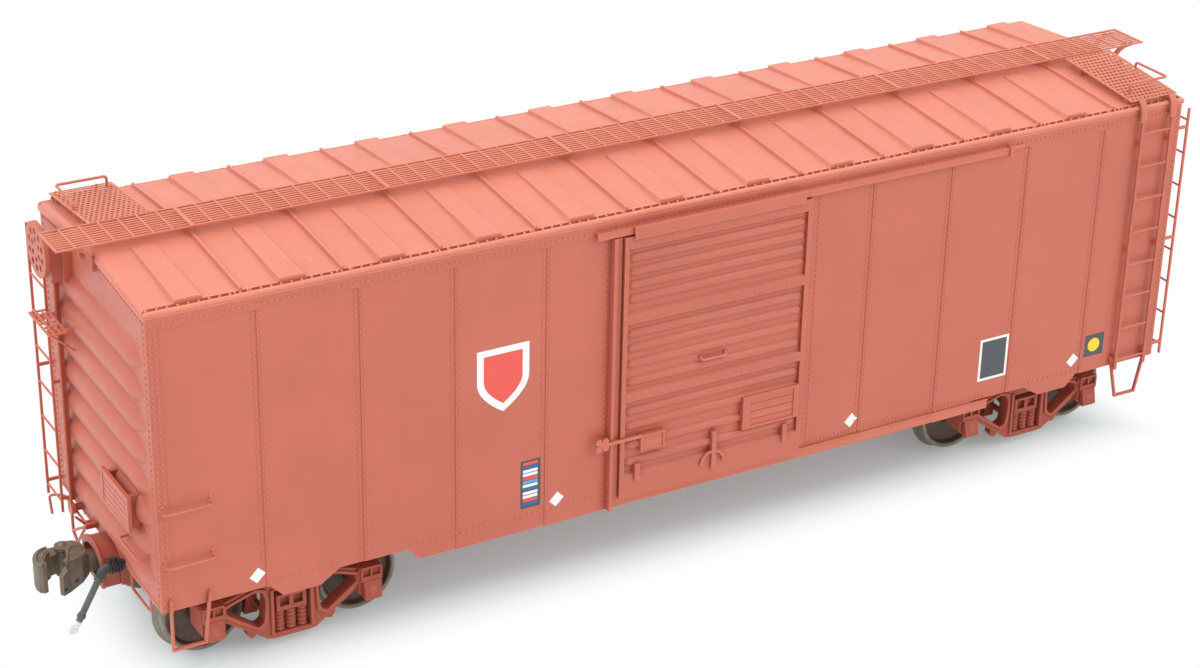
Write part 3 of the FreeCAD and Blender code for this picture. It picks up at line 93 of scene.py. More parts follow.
# ---- shapes --------------------------------------------------------------------------
class Shape:
    """A mesh in the making, in millimetres. Parts are added to it and it becomes one piece."""

    def __init__(self):
        self.points = []
        self.faces = []

    def add(self, points, faces):
        start = len(self.points)
        self.points += [tuple(point) for point in points]
        self.faces += [tuple(start + corner for corner in face) for face in faces]

    def block(self, low, high):
        """A box between two corners."""
        (x0, y0, z0), (x1, y1, z1) = low, high
        points = [(x, y, z) for z in (z0, z1) for x, y in ((x0, y0), (x1, y0), (x1, y1), (x0, y1))]
        sides = [(i, (i + 1) % 4, (i + 1) % 4 + 4, i + 4) for i in range(4)]
        self.add(points, [(3, 2, 1, 0), (4, 5, 6, 7)] + sides)

    def prism(self, outline, shift):
        """A closed outline of 3D points, pushed along the vector shift."""
        shift = Vector(shift)
        self.taper(outline, [Vector(point) + shift for point in outline])

    def holed_plate(self, outer, hole, radius, y_low, y_high):
        """A plate between two places of y with one rounded hole, both outlines given as (x, z).

        Outline and hole have the same number of corners, and each hole corner faces its outer corner.
        """
        arc = 4
        count, rim, owner = len(hole), [], []
        for k in range(count):
            here = Vector(hole[k])
            before, after = (Vector(hole[k - 1]) - here), (Vector(hole[(k + 1) % count]) - here)
            reach = min(radius, 0.4 * before.length, 0.4 * after.length)
            start, end = here + before.normalized() * reach, here + after.normalized() * reach
            for step in range(arc + 1):
                t = step / arc
                rim.append(start * (1 - t) ** 2 + here * 2 * t * (1 - t) + end * t ** 2)
                owner.append(k)
        points = [(x, y, z) for y in (y_low, y_high) for x, z in list(outer) + [tuple(p) for p in rim]]
        layer, inner = count + len(rim), count
        faces = []
        for i, k in enumerate(owner):
            j = (i + 1) % len(rim)
            flat = (k, owner[j], inner + j, inner + i) if owner[j] != k else (k, inner + j, inner + i)
            faces += [flat, tuple(layer + corner for corner in reversed(flat))]
            faces.append((inner + i, inner + j, layer + inner + j, layer + inner + i))
        faces += [((k + 1) % count, k, layer + k, layer + (k + 1) % count) for k in range(count)]
        turn = sum(a[0] * b[1] - b[0] * a[1] for a, b in zip(outer, list(outer[1:]) + [outer[0]]))
        if turn < 0:
            faces = [tuple(reversed(face)) for face in faces]
        self.add(points, faces)

    def taper(self, near, far):
        """A closed solid between two outlines with the same number of 3D points."""
        count = len(near)
        sides = [(i, i + count, (i + 1) % count + count, (i + 1) % count) for i in range(count)]
        faces = [tuple(range(count)), tuple(range(2 * count - 1, count - 1, -1))] + sides
        normal = Vector((0, 0, 0))
        for a, b in zip(near, near[1:] + near[:1]):
            normal += Vector(a).cross(Vector(b))
        if normal.dot(Vector(far[0]) - Vector(near[0])) > 0:
            faces = [tuple(reversed(face)) for face in faces]
        self.add(list(near) + list(far), faces)

    def rivet(self, centre, normal, radius, height, sides=6):
        """A small round head that stands on a surface, sunk a little into it."""
        normal = Vector(normal).normalized()
        across = normal.orthogonal().normalized()
        along = normal.cross(across)
        centre = Vector(centre)
        rings = []
        for share, lift in ((1.0, -RIVET_SINK), (1.0, 0.35 * height), (0.6, 0.85 * height)):
            for k in range(sides):
                turn = 2 * math.pi * k / sides
                rim = across * math.cos(turn) + along * math.sin(turn)
                rings.append(centre + rim * radius * share + normal * lift)
        faces = [tuple(range(sides - 1, -1, -1))]
        for ring in range(2):
            for k in range(sides):
                a, b = ring * sides + k, ring * sides + (k + 1) % sides
                faces.append((a, b, b + sides, a + sides))
        top = 3 * sides
        faces += [(2 * sides + k, 2 * sides + (k + 1) % sides, top) for k in range(sides)]
        self.add(rings + [centre + normal * height], faces)

    def tube(self, path, radius, sides=10):
        """A round bar along a path, with flat ends; radius may be one number or one for each point."""
        path = [Vector(point) for point in path]
        radii = radius if isinstance(radius, (list, tuple)) else [radius] * len(path)
        ahead = (path[1] - path[0]).normalized()
        across = ahead.orthogonal().normalized()
        points = []
        for i, point in enumerate(path):
            before = path[i] - path[i - 1] if i else path[1] - path[0]
            after = path[i + 1] - path[i] if i + 1 < len(path) else before
            ahead = (before.normalized() + after.normalized()).normalized()
            across = (across - ahead * across.dot(ahead)).normalized()
            side = ahead.cross(across)
            for k in range(sides):
                turn = 2 * math.pi * k / sides
                points.append(point + (across * math.cos(turn) + side * math.sin(turn)) * radii[i])
        faces = [tuple(range(sides - 1, -1, -1)), tuple(range(len(points) - sides, len(points)))]
        for i in range(len(path) - 1):
            for k in range(sides):
                a, b = i * sides + k, i * sides + (k + 1) % sides
                faces.append((a, b, b + sides, a + sides))
        self.add(points, faces)

    def half_turned(self):
        """A copy turned half way round the car's vertical axis."""
        copy = Shape()
        copy.points = [(-x, -y, z) for x, y, z in self.points]
        copy.faces = list(self.faces)
        return copy

    def joined(self, other):
        self.add(other.points, other.faces)
        return self

    def piece(self, name, body, look, slot, replaces=()):
        """The finished piece, in a named material: it rides on a CAD body and may stand for CAD nodes."""
        mesh = bpy.data.meshes.new(name)
        mesh.from_pydata([(x * MM, y * MM, z * MM) for x, y, z in self.points], [], self.faces)
        mesh.validate()
        mesh.shade_smooth()
        mesh.set_sharp_from_angle(angle=math.radians(SHARP_DEG))
        mesh.materials.append(MATERIALS[look])
        made = bpy.data.objects.new(name, mesh)
        bpy.context.scene.collection.objects.link(made)
        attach(made, body)
        if replaces:
            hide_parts(*replaces)
        return made


# ---- materials -----------------------------------------------------------------------
AO_SAMPLES = 4
SHEEN = 0.08
WORN_AND_HIGHLIT_REACH = 0.32            # how thick an edge may be and still get the paler edge tone, part worn paint and part painted highlight
PEEL_DEPTH, PIT_DEPTH, FILM_DEPTH = 0.010, 0.02, 0.004
WORN_FROM, WORN_TO, WORN_WOBBLE = 4.55, 4.68, 0.06     # radii where a wheel's plate turns to worn tread
WHEEL_PLATE = ((0.062, 0.036, 0.026), (0.13, 0.072, 0.052))
WHEEL_TREAD = ((0.30, 0.28, 0.21), (0.20, 0.175, 0.13))


class Nodes:
    """Short names for adding shader nodes to one material."""

    def __init__(self, name):
        self.material = bpy.data.materials.new(name)
        self.material.use_nodes = True
        self.tree = self.material.node_tree
        self.shader = self.tree.nodes["Principled BSDF"]
        self.place = self.tree.nodes.new("ShaderNodeTexCoord").outputs["Object"]

    def link(self, source, target):
        self.tree.links.new(source, target)

    def feed(self, name, source):
        """Links a value or colour to the shader's input of that name."""
        self.link(source, self.shader.inputs[name])

    def noise(self, size_mm, detail=3.0, roughness=0.5, stretch=(1, 1, 1)):
        """Cloudy noise whose blotches are about size_mm across."""
        mapping = self.tree.nodes.new("ShaderNodeMapping")
        mapping.inputs["Scale"].default_value = stretch
        self.link(self.place, mapping.inputs["Vector"])
        texture = self.tree.nodes.new("ShaderNodeTexNoise")
        texture.inputs["Scale"].default_value = 1 / (size_mm * MM)
        texture.inputs["Detail"].default_value = detail
        texture.inputs["Roughness"].default_value = roughness
        self.link(mapping.outputs["Vector"], texture.inputs["Vector"])
        return texture.outputs["Fac"]

    def blotches(self, *noise):
        """0 to 1 in cloudy blotches with soft edges; takes what noise takes."""
        return self.remap(self.noise(*noise), 0.35, 0.65, 0, 1)

    def wander(self, low, high, *noise):
        """A value that wanders between low and high; then takes what noise takes."""
        return self.remap(self.noise(*noise), 0.3, 0.7, low, high)

    def occlusion(self, reach_mm, inside=False):
        """How open the surface is within reach_mm, outward or, with inside, into the solid behind it."""
        node = self.tree.nodes.new("ShaderNodeAmbientOcclusion")
        node.samples = AO_SAMPLES
        node.inside = inside
        node.inputs["Distance"].default_value = reach_mm * MM
        return node.outputs["AO"]

    def specks(self, size_mm, radius):
        """1 in small round spots, one to a cell of size_mm, and 0 between them."""
        cells = self.tree.nodes.new("ShaderNodeTexVoronoi")
        cells.inputs["Scale"].default_value = 1 / (size_mm * MM)
        cells.inputs["Randomness"].default_value = 1.0
        self.link(self.place, cells.inputs["Vector"])
        return self.remap(cells.outputs["Distance"], radius, radius * 0.6, 0, 1)

    def remap(self, value, low, high, to_low, to_high, kind="LINEAR"):
        node = self.tree.nodes.new("ShaderNodeMapRange")
        node.interpolation_type = kind
        numbers = {"From Min": low, "From Max": high, "To Min": to_low, "To Max": to_high}
        for socket, number in numbers.items():
            node.inputs[socket].default_value = number
        self.link(value, node.inputs["Value"])
        return node.outputs["Result"]

    def mix(self, factor, first, second):
        """A colour between first and second, each a socket or a colour."""
        node = self.tree.nodes.new("ShaderNodeMix")
        node.data_type = "RGBA"
        self.link(factor, node.inputs["Factor"])
        for socket, colour in ((node.inputs[6], first), (node.inputs[7], second)):
            if isinstance(colour, tuple):
                socket.default_value = (*colour, 1)
            else:
                self.link(colour, socket)
        return node.outputs[2]

    def math(self, operation, first, second=0.0):
        node = self.tree.nodes.new("ShaderNodeMath")
        node.operation = operation
        for socket, value in zip(node.inputs, (first, second)):
            if isinstance(value, (int, float)):
                socket.default_value = value
            else:
                self.link(value, socket)
        return node.outputs["Value"]

    def bump(self, height, depth_mm):
        node = self.tree.nodes.new("ShaderNodeBump")
        node.inputs["Strength"].default_value = 1.0
        node.inputs["Distance"].default_value = depth_mm * MM
        self.link(height, node.inputs["Height"])
        self.link(node.outputs["Normal"], self.shader.inputs["Normal"])


def tinted(colour, gains, lift=0.0):
    """A colour with its red, green and blue each multiplied, then lifted, and kept to 1 at most."""
    return tuple(min(1, c * gain + lift) for c, gain in zip(colour, gains))


def paint(name, colour, roughness=0.42, dust=0.5, shade=0.42, edge=0.6, reach=0.9):
    """Airbrushed model paint: faint tone changes, a fine orange peel, painted shade in corners, a little
    pale dust.

    dust, shade and edge are the strengths of the dust, of the painted shade in corners and of the paler
    edges, which are part worn paint and part painted highlight; reach is how far the painted shade spreads,
    in millimetres.
    """
    n = Nodes(name)
    darker = tinted(colour, (0.955, 0.955, 0.955))
    lighter = tinted(colour, (1.035, 1.035, 1.035), 0.002)
    # a tone of painted shade for corners, and a paler tone for edges, part worn paint and part painted
    # highlight
    painted_shade_tone = tinted(colour, (0.62, 0.50, 0.46))
    worn_and_highlit = tinted(colour, (1.28, 1.42, 1.30))
    pale = tinted(colour, (0.55, 0.55, 0.55), 0.40)
    tone = n.mix(n.blotches(14.0, 4.0, 0.6), darker, lighter)
    tone = n.mix(n.wander(0, 0.35, 0.4, 3.0, 0.6), tone, darker)
    # painted shade: darker where the surface is closed in, in corners, creases and recesses
    tone = n.mix(n.remap(n.occlusion(reach), 0.35, 0.95, shade, 0), tone, painted_shade_tone)
    # paler edges and thin parts: part worn paint, part painted highlight
    tone = n.mix(n.remap(n.occlusion(WORN_AND_HIGHLIT_REACH, True), 0.80, 0.25, 0, edge), tone, worn_and_highlit)
    specks = n.math("MULTIPLY", n.specks(6.5, 0.018), n.remap(n.noise(4.0), 0.5, 0.6, 0, dust))
    n.feed("Base Color", n.mix(specks, tone, pale))
    n.feed("Roughness", n.wander(roughness - 0.06, roughness + 0.08, 2.2, 4.0, 0.65))
    n.shader.inputs["Sheen Weight"].default_value = SHEEN
    n.shader.inputs["Sheen Roughness"].default_value = 0.45
    peel = n.math("ADD", n.noise(0.12, 2.0), n.math("MULTIPLY", n.noise(0.9, 2.0), 0.6))
    n.bump(peel, PEEL_DEPTH)
    return n.material


def metal(name, colour, stain, roughness, metallic):
    """Cast or blackened metal, or moulded rubber: two tones in blotches, with a pitted skin."""
    n = Nodes(name)
    blotch = 1.2
    n.feed("Base Color", n.mix(n.blotches(blotch, 5.0, 0.7), colour, stain))
    n.feed("Roughness", n.wander(roughness - 0.1, roughness + 0.12, blotch * 0.6, 4.0))
    n.shader.inputs["Metallic"].default_value = metallic
    n.bump(n.noise(blotch * 0.25, 4.0, 0.65), PIT_DEPTH)
    return n.material


def ink(name, colour):
    """Printed marking film: even, a little satin, with tiny worn flecks."""
    n = Nodes(name)
    faded = tuple(c * 0.86 + 0.02 for c in colour)
    flecks = n.remap(n.noise(0.35, 4.0, 0.7), 0.52, 0.68, 0, 0.8)
    n.feed("Base Color", n.mix(flecks, colour, faded))
    n.feed("Roughness", n.wander(0.36, 0.5, 0.8, 3.0))
    n.bump(n.noise(0.15, 2.0), FILM_DEPTH)
    return n.material


def wheel(name, axle_x, axle_z):
    """A wheel: dark brown plate and hub, with a worn tread and flange of dull bronze."""
    n = Nodes(name)
    parts = n.tree.nodes.new("ShaderNodeSeparateXYZ")
    n.link(n.place, parts.inputs["Vector"])
    across = n.math("SUBTRACT", parts.outputs["X"], axle_x * MM)
    up = n.math("SUBTRACT", parts.outputs["Z"], axle_z * MM)
    squares = n.math("ADD", n.math("MULTIPLY", across, across), n.math("MULTIPLY", up, up))
    radius = n.math("SQRT", squares)
    ragged = n.math("ADD", radius, n.wander(-WORN_WOBBLE * MM, WORN_WOBBLE * MM, 1.0, 3.0))
    worn = n.remap(ragged, WORN_FROM * MM, WORN_TO * MM, 0, 1)
    plate = n.mix(n.blotches(1.4, 5.0, 0.7), *WHEEL_PLATE)
    tread = n.mix(n.blotches(0.8, 4.0, 0.7, (1, 3, 1)), *WHEEL_TREAD)
    n.feed("Base Color", n.mix(worn, plate, tread))
    n.feed("Roughness", n.remap(worn, 0, 1, 0.45, 0.3))
    n.feed("Metallic", n.remap(worn, 0, 1, 0.0, 0.6))
    n.bump(n.noise(0.3, 4.0, 0.65), PIT_DEPTH)
    return n.material


PAINTS = {
    "body_paint": dict(colour=(0.560, 0.138, 0.086)),
    # the doors: stronger and wider painted shade between the beads, and stronger paler edges, part painted
    # highlight
    "door_paint": dict(colour=(0.550, 0.136, 0.085), dust=0.9, shade=0.95, edge=0.9, reach=1.5),
    # the roof: lighter than the body as painted light on the top, where light falls from above, with
    # stronger painted shade
    "roof_paint": dict(colour=(0.690, 0.212, 0.140), roughness=0.46, dust=0.9, shade=0.85, reach=1.2),
    "walk_paint": dict(colour=(0.560, 0.158, 0.100), roughness=0.5),
    "trim_paint": dict(colour=(0.530, 0.130, 0.080)),
    "underframe_paint": dict(colour=(0.440, 0.100, 0.062), roughness=0.5),
    # the trucks: darker than the body, their own deeper tone and painted shade under the car, with stronger
    # painted shade
    "truck_paint": dict(colour=(0.410, 0.082, 0.045), roughness=0.5, shade=0.7),
    # rivet heads: a little lighter than the body, a painted highlight on their tops
    "rivet_paint": dict(colour=(0.600, 0.162, 0.104), roughness=0.38, dust=0.0, shade=0.3, edge=0.0,
                        reach=0.4),
    # the groove along the eaves and the panel edges over it: a darker tone, painted shade under the roof's
    # edge
    "eave_painted_shade": dict(colour=(0.520, 0.138, 0.090), roughness=0.6, dust=0.0, edge=0.0),
    "deck_plastic": dict(colour=(0.10, 0.052, 0.030), roughness=0.6),
}
METALS = {                  # two tones, roughness, how metallic
    "wheel_metal": ((0.060, 0.036, 0.026), (0.10, 0.062, 0.045), 0.45, 0.3),
    "axle_steel": ((0.16, 0.15, 0.14), (0.10, 0.09, 0.085), 0.4, 0.7),
    "coupler_metal": ((0.235, 0.190, 0.140), (0.15, 0.118, 0.086), 0.45, 0.3),
    "hose_rubber": ((0.130, 0.145, 0.143), (0.095, 0.105, 0.104), 0.5, 0.0),
    "ballast_steel": ((0.25, 0.25, 0.25), (0.18, 0.18, 0.18), 0.4, 0.8),
    "cock_black": ((0.030, 0.031, 0.032), (0.065, 0.066, 0.066), 0.45, 0.1),
    "hand_white": ((0.82, 0.82, 0.81), (0.78, 0.79, 0.79), 0.5, 0.0),
}
INKS = {
    "decal_white": (0.88, 0.88, 0.87),
    "decal_red": (0.80, 0.10, 0.075),
    "decal_dark": (0.075, 0.085, 0.095),
    "decal_blue": (0.035, 0.13, 0.42),
    "decal_sky": (0.13, 0.38, 0.68),
    "decal_yellow": (0.90, 0.68, 0.02),
}
MATERIALS = {name: paint(name, **look) for name, look in PAINTS.items()}
MATERIALS.update({name: metal(name, *look) for name, look in METALS.items()})
MATERIALS.update({name: ink(name, colour) for name, colour in INKS.items()})


# ---- CAD nodes that are shown as they are --------------------------------------------
WELD = 0.0005               # corners closer than this are one
FLAT_DEG = 0.5              # faces that meet flatter than this are one
ROUNDED_DEG = 32            # edges sharper than this are rounded


def round_off(made, width_mm):
    """A small rounded edge on an object, as a modifier."""
    edge = made.modifiers.new("edge", "BEVEL")
    edge.width = width_mm * MM
    edge.segments = 2
    edge.limit_method = "ANGLE"
    edge.angle_limit = math.radians(ROUNDED_DEG)
    edge.harden_normals = True


def soften(node, width_mm):
    """Gives a CAD node the small rounded edges of a moulding, without touching its mesh."""
    made = frame["nodes"][node]
    weld = made.modifiers.new("weld", "WELD")
    weld.merge_threshold = WELD * MM
    flat = made.modifiers.new("flat", "DECIMATE")
    flat.decimate_type = "DISSOLVE"
    flat.angle_limit = math.radians(FLAT_DEG)
    round_off(made, width_mm)


for node, made in frame["nodes"].items():
    look = MATERIALS[made.data.materials[0].name.split(".")[0]]
    if node in ("door_near", "door_far"):
        look = MATERIALS["door_paint"]
    if node.startswith("wheels_"):
        low, high = limits(node)
        look = wheel(node, (low.x + high.x) / 2, (low.z + high.z) / 2)
    made.material_slots[0].link = "OBJECT"
    made.material_slots[0].material = look

SOFT_EDGES = {              # node and the width of its rounding
    "side_wall_near": 0.05, "side_wall_far": 0.05, "end_wall_brake": 0.06, "end_wall_plain": 0.06,
    "roof": 0.05, "door_near": 0.06, "door_far": 0.06, "door_gear_near": 0.05, "door_gear_far": 0.05,
    "door_tracks": 0.05, "door_posts": 0.05, "brake_wheel": 0.05, "brake_gear_housing": 0.12,
    "tack_boards": 0.06, "strikers": 0.1, "coupler_pockets": 0.08, "coupler_brake": 0.2,
    "coupler_plain": 0.2, "knuckle_brake": 0.22, "knuckle_plain": 0.22, "truck_brake_brake_beams": 0.06,
    "truck_plain_brake_beams": 0.06, "sill_steps": 0.04, "side_ladders": 0.04,
}
for node, width in SOFT_EDGES.items():
    soften(node, width)


# ---- places on the car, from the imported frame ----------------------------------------
side_low = limits("side_wall_near")[0]
roof_low, roof_high = limits("roof")
door_low, door_high = limits("door_near")
board_low, board_high = limits("running_board")
WALL_Y = -16.8              # the flat of the near side sheet
LAP = WALL_Y - side_low.y   # how far laps and strips stand out from it
END_X = side_low.x          # the flat of the brake end's sheet
CORNER_STRIP = 1.4          # width of the strip at each end of the side
SEAMS_X = (-59.0, -46.7, -34.8, -22.9, 22.9, 34.8, 46.7, 59.0)
POST_X = -14.39             # where the panel left of the door ends, at the door post
TRUCK_X = 54.25             # truck centres from the middle of the car
RIDGE_Z, ROOF_SLOPE = 50.6, 0.0774
ROOF_RIBS, RIB_PITCH = 11, 12.09
GROOVE_Y, GROOVE_Z = -16.6, 48.95       # the floor of the groove along the near eave
WALK_X = (62.9, 70.5)
WALK_Y = (board_low.y - 0.17, -16.9)    # from the running board out to the eave
WALK_Z = (51.55, 50.1)                  # its top at those two places
BRACKETS_Y = (-2.1, 2.1)    # the brackets under each end of the running board
BRAKE_STEP_BACK = -73.4     # where its sheet ends, before the arms go on to the wall
RIVET_R, RIVET_H, RIVET_PITCH = 0.19, 0.13, 0.8
UP, NEAR, FRONT = (0, 0, 1), (0, -1, 0), (-1, 0, 0)     # which way a rivet head stands
# Markings that lie over a seam, as x from and to, z from and to: no rivets are put on them.
COVERED = ((45.8, 46.8, 14.1, 20.8), (-60.0, -58.5, 12.3, 14.7), (57.7, 59.0, 12.7, 15.2))


def side_y(x):
    """The near side's surface: each panel's left edge laps over its neighbour and tapers back."""
    if abs(x) > -END_X - CORNER_STRIP:
        return WALL_Y - LAP
    for left, right in zip(SEAMS_X, SEAMS_X[1:] + (-END_X,)):
        right = POST_X if left < 0 < right else right
        if left <= x < right:
            return WALL_Y - LAP * (right - x) / (right - left)
    return WALL_Y


def roof_z(y):
    """Top of the roof's sheet."""
    return RIDGE_Z - ROOF_SLOPE * abs(y)


def walk_z(y):
    """Top of the near lateral walk, which falls from the running board to the eave."""
    return WALK_Z[0] + (WALK_Z[1] - WALK_Z[0]) * (y - WALK_Y[0]) / (WALK_Y[1] - WALK_Y[0])


def rib_places():
    """Where the roof's ribs lie along the car."""
    return [(k - (ROOF_RIBS - 1) / 2) * RIB_PITCH for k in range(ROOF_RIBS)]


def steps(start, end, pitch):
    """Evenly spaced places from start to end, about a pitch apart."""
    count = max(1, round(abs(end - start) / pitch))
    return [start + (end - start) * k / count for k in range(count + 1)]


def both_sides(shape):
    """A near-side or brake-end shape with its copy on the other side or end."""
    return shape.joined(shape.half_turned())


# ---- running board and walks ---------------------------------------------------------
def running_board_grid():
    """The running board in thin metal: a rim, cross bars and fine lengthwise bars.

    A wide riveted joint lies over every other roof rib, with the same number of panels between them.
    """
    shape = Shape()
    bars, bar, rim, thin, cross, joint = 8, 0.13, 0.24, 0.2, 0.12, 0.26
    middle_panels, end_panels = 10, 7
    start, end = board_low.x, board_high.x
    edge, top = board_high.y, board_high.z
    inner = edge - rim
    for low, high in ((-edge, -inner), (inner, edge)):
        shape.block((start, low, top - thin), (end, high, top))
    for k in range(1, bars + 1):
        y = -inner + 2 * inner * k / (bars + 1)
        shape.block((start + rim / 2, y - bar, top - 0.17), (end - rim / 2, y + bar, top - 0.04))
    joints = rib_places()[::2]
    ends = [start] + joints + [end]
    reach = inner + rim / 2
    for low, high in zip(ends, ends[1:]):
        panels = end_panels if start == low or end == high else middle_panels
        for k in range(panels + (high == end)):
            x = min(max(low + (high - low) * k / panels, start + cross), end - cross)
            shape.block((x - cross, -reach, top - thin + GAP), (x + cross, reach, top - GAP))
    for x in joints:
        shape.block((x - joint, -edge - 2 * GAP, top - thin), (x + joint, edge + 2 * GAP, top + 0.05))
        for side in (-1, 1):
            for u in (-0.45, 0.45):
                shape.rivet((x + u, side * 1.5, top - 0.04), UP, 0.17, 0.12)
    for x in rib_places():
        for side in (-1, 1):
            shape.rivet((x, side * 2.2, top - 0.05), UP, 0.2, 0.13)
    shape.piece("running_board_grid", "carbody", "walk_paint", "walk_paint", ("running_board",))


def running_board_supports():
    """A narrow saddle over each roof rib, and two curved brackets under each overhanging end."""
    shape = Shape()
    half, under = 2.3, board_high.z - 0.18
    foot = roof_z(half) - 0.05
    saddle = [(half, foot), (half, under), (-half, under), (-half, foot)]
    for x in rib_places():
        shape.prism([(x - 0.35, y, z) for y, z in saddle], (0.7, 0, 0))
    root = roof_low.x
    curve = [(END_X, 48.2), (END_X, 49.3), (root, 49.3), (root, 49.6), (root - 0.35, 50.3),
             (root - 0.9, 50.8), (root - 1.8, under - 0.1), (root - 1.8, under), (root - 3.3, under),
             (root - 3.3, under - 0.25), (root - 1.9, under - 0.45), (root - 1.1, under - 0.9),
             (root - 0.6, 50.0), (root - 0.3, 49.2), (root - 0.3, 48.2)]
    for y in BRACKETS_Y:
        arm = Shape()
        arm.prism([(x, y - 0.35, z) for x, z in curve], (0, 0.7, 0))
        shape.joined(both_sides(arm))
    shape.piece("running_board_supports", "carbody", "walk_paint", "walk_paint", ("running_board_saddles",))


def lateral_walk_grid():
    """The perforated side walks: staggered slots between fine bars, thin edges, feet and straps."""
    shape = Shape()
    (x0, x1), (y0, y1) = WALK_X, WALK_Y
    thick, edge, rib, tie = 0.13, 0.2, 0.17, 0.14
    rib_inset, tie_inset = 0.012, 0.024

    def bar(xa, xb, ya, yb, inset=0.0):
        """A piece of the walk's sheet, following its fall; ya is nearer the running board.

        Bars that cross have different insets, so that they don't share a face.
        """
        xa, xb, ya, yb = xa + inset, xb - inset, ya - inset, yb + inset
        ring = [(x, y, walk_z(y) - inset) for x, y in ((xa, ya), (xb, ya), (xb, yb), (xa, yb))]
        shape.prism(ring, (0, 0, 2 * inset - thick))

    columns, rows = 12, 18
    pitch_x, pitch_y = (x1 - x0) / columns, (y1 - y0) / rows
    for row in range(rows + 1):
        y = y0 + row * pitch_y
        half = edge if row in (0, rows) else rib
        bar(x0, x1, min(y + half, y0), max(y - half, y1), rib_inset)
    for row in range(rows):
        shift = 0.5 * (row % 2)
        ya, yb = y0 + row * pitch_y, y0 + (row + 1) * pitch_y
        for k in range(columns + 1):
            x = x0 + (k + shift) * pitch_x
            if x < x1:
                bar(max(x - tie, x0), min(x + tie, x1), ya, yb, tie_inset)
    bar(x0, x0 + 1.5 * edge, y0, y1)
    bar(x1 - 1.5 * edge, x1, y0, y1)
    foot = 0.3
    for x in (x0 + 0.6, x1 - 0.6):
        for y in (-6.0, -15.5):
            low = roof_z(y) - 0.1
            square = [(x + u * foot, y + v * foot, low) for u, v in ((-1, -1), (1, -1), (1, 1), (-1, 1))]
            shape.prism(square, (0, 0, walk_z(y) - roof_z(y)))
            shape.rivet((x, y, walk_z(y) - 0.02), UP, 0.24, 0.16)
    strap = [(-16.6, 50.05), (-16.95, 50.05), (-17.55, 49.3), (-17.75, 48.4), (-17.75, 47.2),
             (-17.45, 47.2), (-17.45, 48.3), (-17.3, 49.2), (-16.6, 49.85)]
    for x in (64.75, 69.65):
        shape.prism([(x - 0.45, y, z) for y, z in strap], (0.9, 0, 0))
        shape.rivet((x, -17.74, 47.75), NEAR, 0.2, 0.12)
        shape.rivet((x, -16.8, walk_z(-16.8) - 0.02), UP, 0.2, 0.12)
    both_sides(shape).piece("lateral_walk_grid", "carbody", "walk_paint", "walk_paint", ("lateral_walks",))


# ---- end ladders and brake step ------------------------------------------------------
def end_ladder_wires():
    """The ladder on each end in thin wire: two flat stiles on short brackets, and round rungs."""
    shape = Shape()
    face_x, back_x, stile = -73.75, -73.45, 0.12
    inner_y, outer_y = 11.1, 16.35
    rungs, top_rung_z, pitch = 8, 45.5, 4.69
    for y in (inner_y, outer_y):
        shape.block((face_x, y - stile, 11.3), (back_x, y + stile, 47.2))
        for z in (13.1, 28.75, 44.6):
            low, high = (y - stile + GAP, z - 0.2), (y + stile - GAP, z + 0.2)
            shape.block((back_x - 2 * GAP, *low), (END_X + 0.1, *high))
    for k in range(rungs):
        z = top_rung_z - pitch * k
        shape.tube([(face_x + 0.15, inner_y, z), (face_x + 0.15, outer_y, z)], 0.14)
    both_sides(shape).piece("end_ladder_wires", "carbody", "trim_paint", "trim_paint", ("end_ladders",))


def brake_step_grid():
    """The platform by the brake wheel: a thin pierced sheet on two arms, each with a brace under it."""
    shape = Shape()
    low, high = limits("brake_step")
    columns, rows, bar, thin = 6, 3, 0.12, 0.18
    front, back, top = low.x, BRAKE_STEP_BACK, high.z
    for row in range(rows + 1):
        x = min(max(front + (back - front) * row / rows, front + bar), back - bar)
        shape.block((x - bar, low.y, top - thin), (x + bar, high.y, top))
    for column in range(columns + 1):
        y = min(max(low.y + (high.y - low.y) * column / columns, low.y + bar), high.y - bar)
        shape.block((front + GAP, y - bar + GAP, top - thin + GAP), (back, y + bar - GAP, top - GAP))
    for y in (low.y + 1.2, high.y - 1.2):
        shape.block((front + 0.3, y - 0.1, top - 0.5), (END_X + 0.05, y + 0.1, top - 0.1))
        shape.tube([(front + 0.45, y, top - 0.4), (END_X - 0.1, y, top - 3.7)], 0.13)
    shape.piece("brake_step_grid", "carbody", "walk_paint", "walk_paint", ("brake_step",))


# ---- rivets and bolts ----------------------------------------------------------------
def side_rivets():
    """Rivet heads on the near side's seams, ends, top, sill and door edges, and its grab irons' bolts."""
    shape = Shape()

    def column(x, low, high, surface=None):
        for z in steps(low, high, RIVET_PITCH):
            if not any(x0 < x < x1 and z0 < z < z1 for x0, x1, z0, z1 in COVERED):
                shape.rivet((x, surface or side_y(x), z), NEAR, RIVET_R, RIVET_H)

    def row(z, start, end, pitch=RIVET_PITCH, surface=None):
        for x in steps(start, end, pitch):
            shape.rivet((x, surface or side_y(x), z), NEAR, RIVET_R, RIVET_H)

    proud = WALL_Y - LAP
    row(47.5, -71.2, 71.2, 0.73, proud)
    for x in SEAMS_X:
        low = 12.3 if abs(x) > 40 else 10.9
        column(x + 0.42, low, 46.5)
        column(x - 0.42, low, 46.5)
    for x in (END_X + 0.4, END_X + 1.0, -END_X - 1.0, -END_X - 0.4):
        column(x, 12.2, 46.7, proud)
    column(POST_X - 0.5, 11.0, 46.4)
    column(13.85, 12.2, 46.5, proud)
    column(15.0, 12.2, 46.5)
    row(12.25, 15.6, 43.0, 0.56)
    row(12.25, -40.5, POST_X - 1.0)
    for middle in (-TRUCK_X, TRUCK_X):
        row(12.3, middle - 4.4, middle + 4.4)
    for x in (-71.0, -65.3):
        for z in (24.6, 17.7):
            shape.rivet((x, side_y(x) + 0.02, z), NEAR, 0.42, 0.2, 8)
            shape.rivet((x, side_y(x) + 0.02, z + 0.72), NEAR, 0.24, 0.22, 8)
    both_sides(shape).piece("side_rivets", "carbody", "rivet_paint", "body_paint")


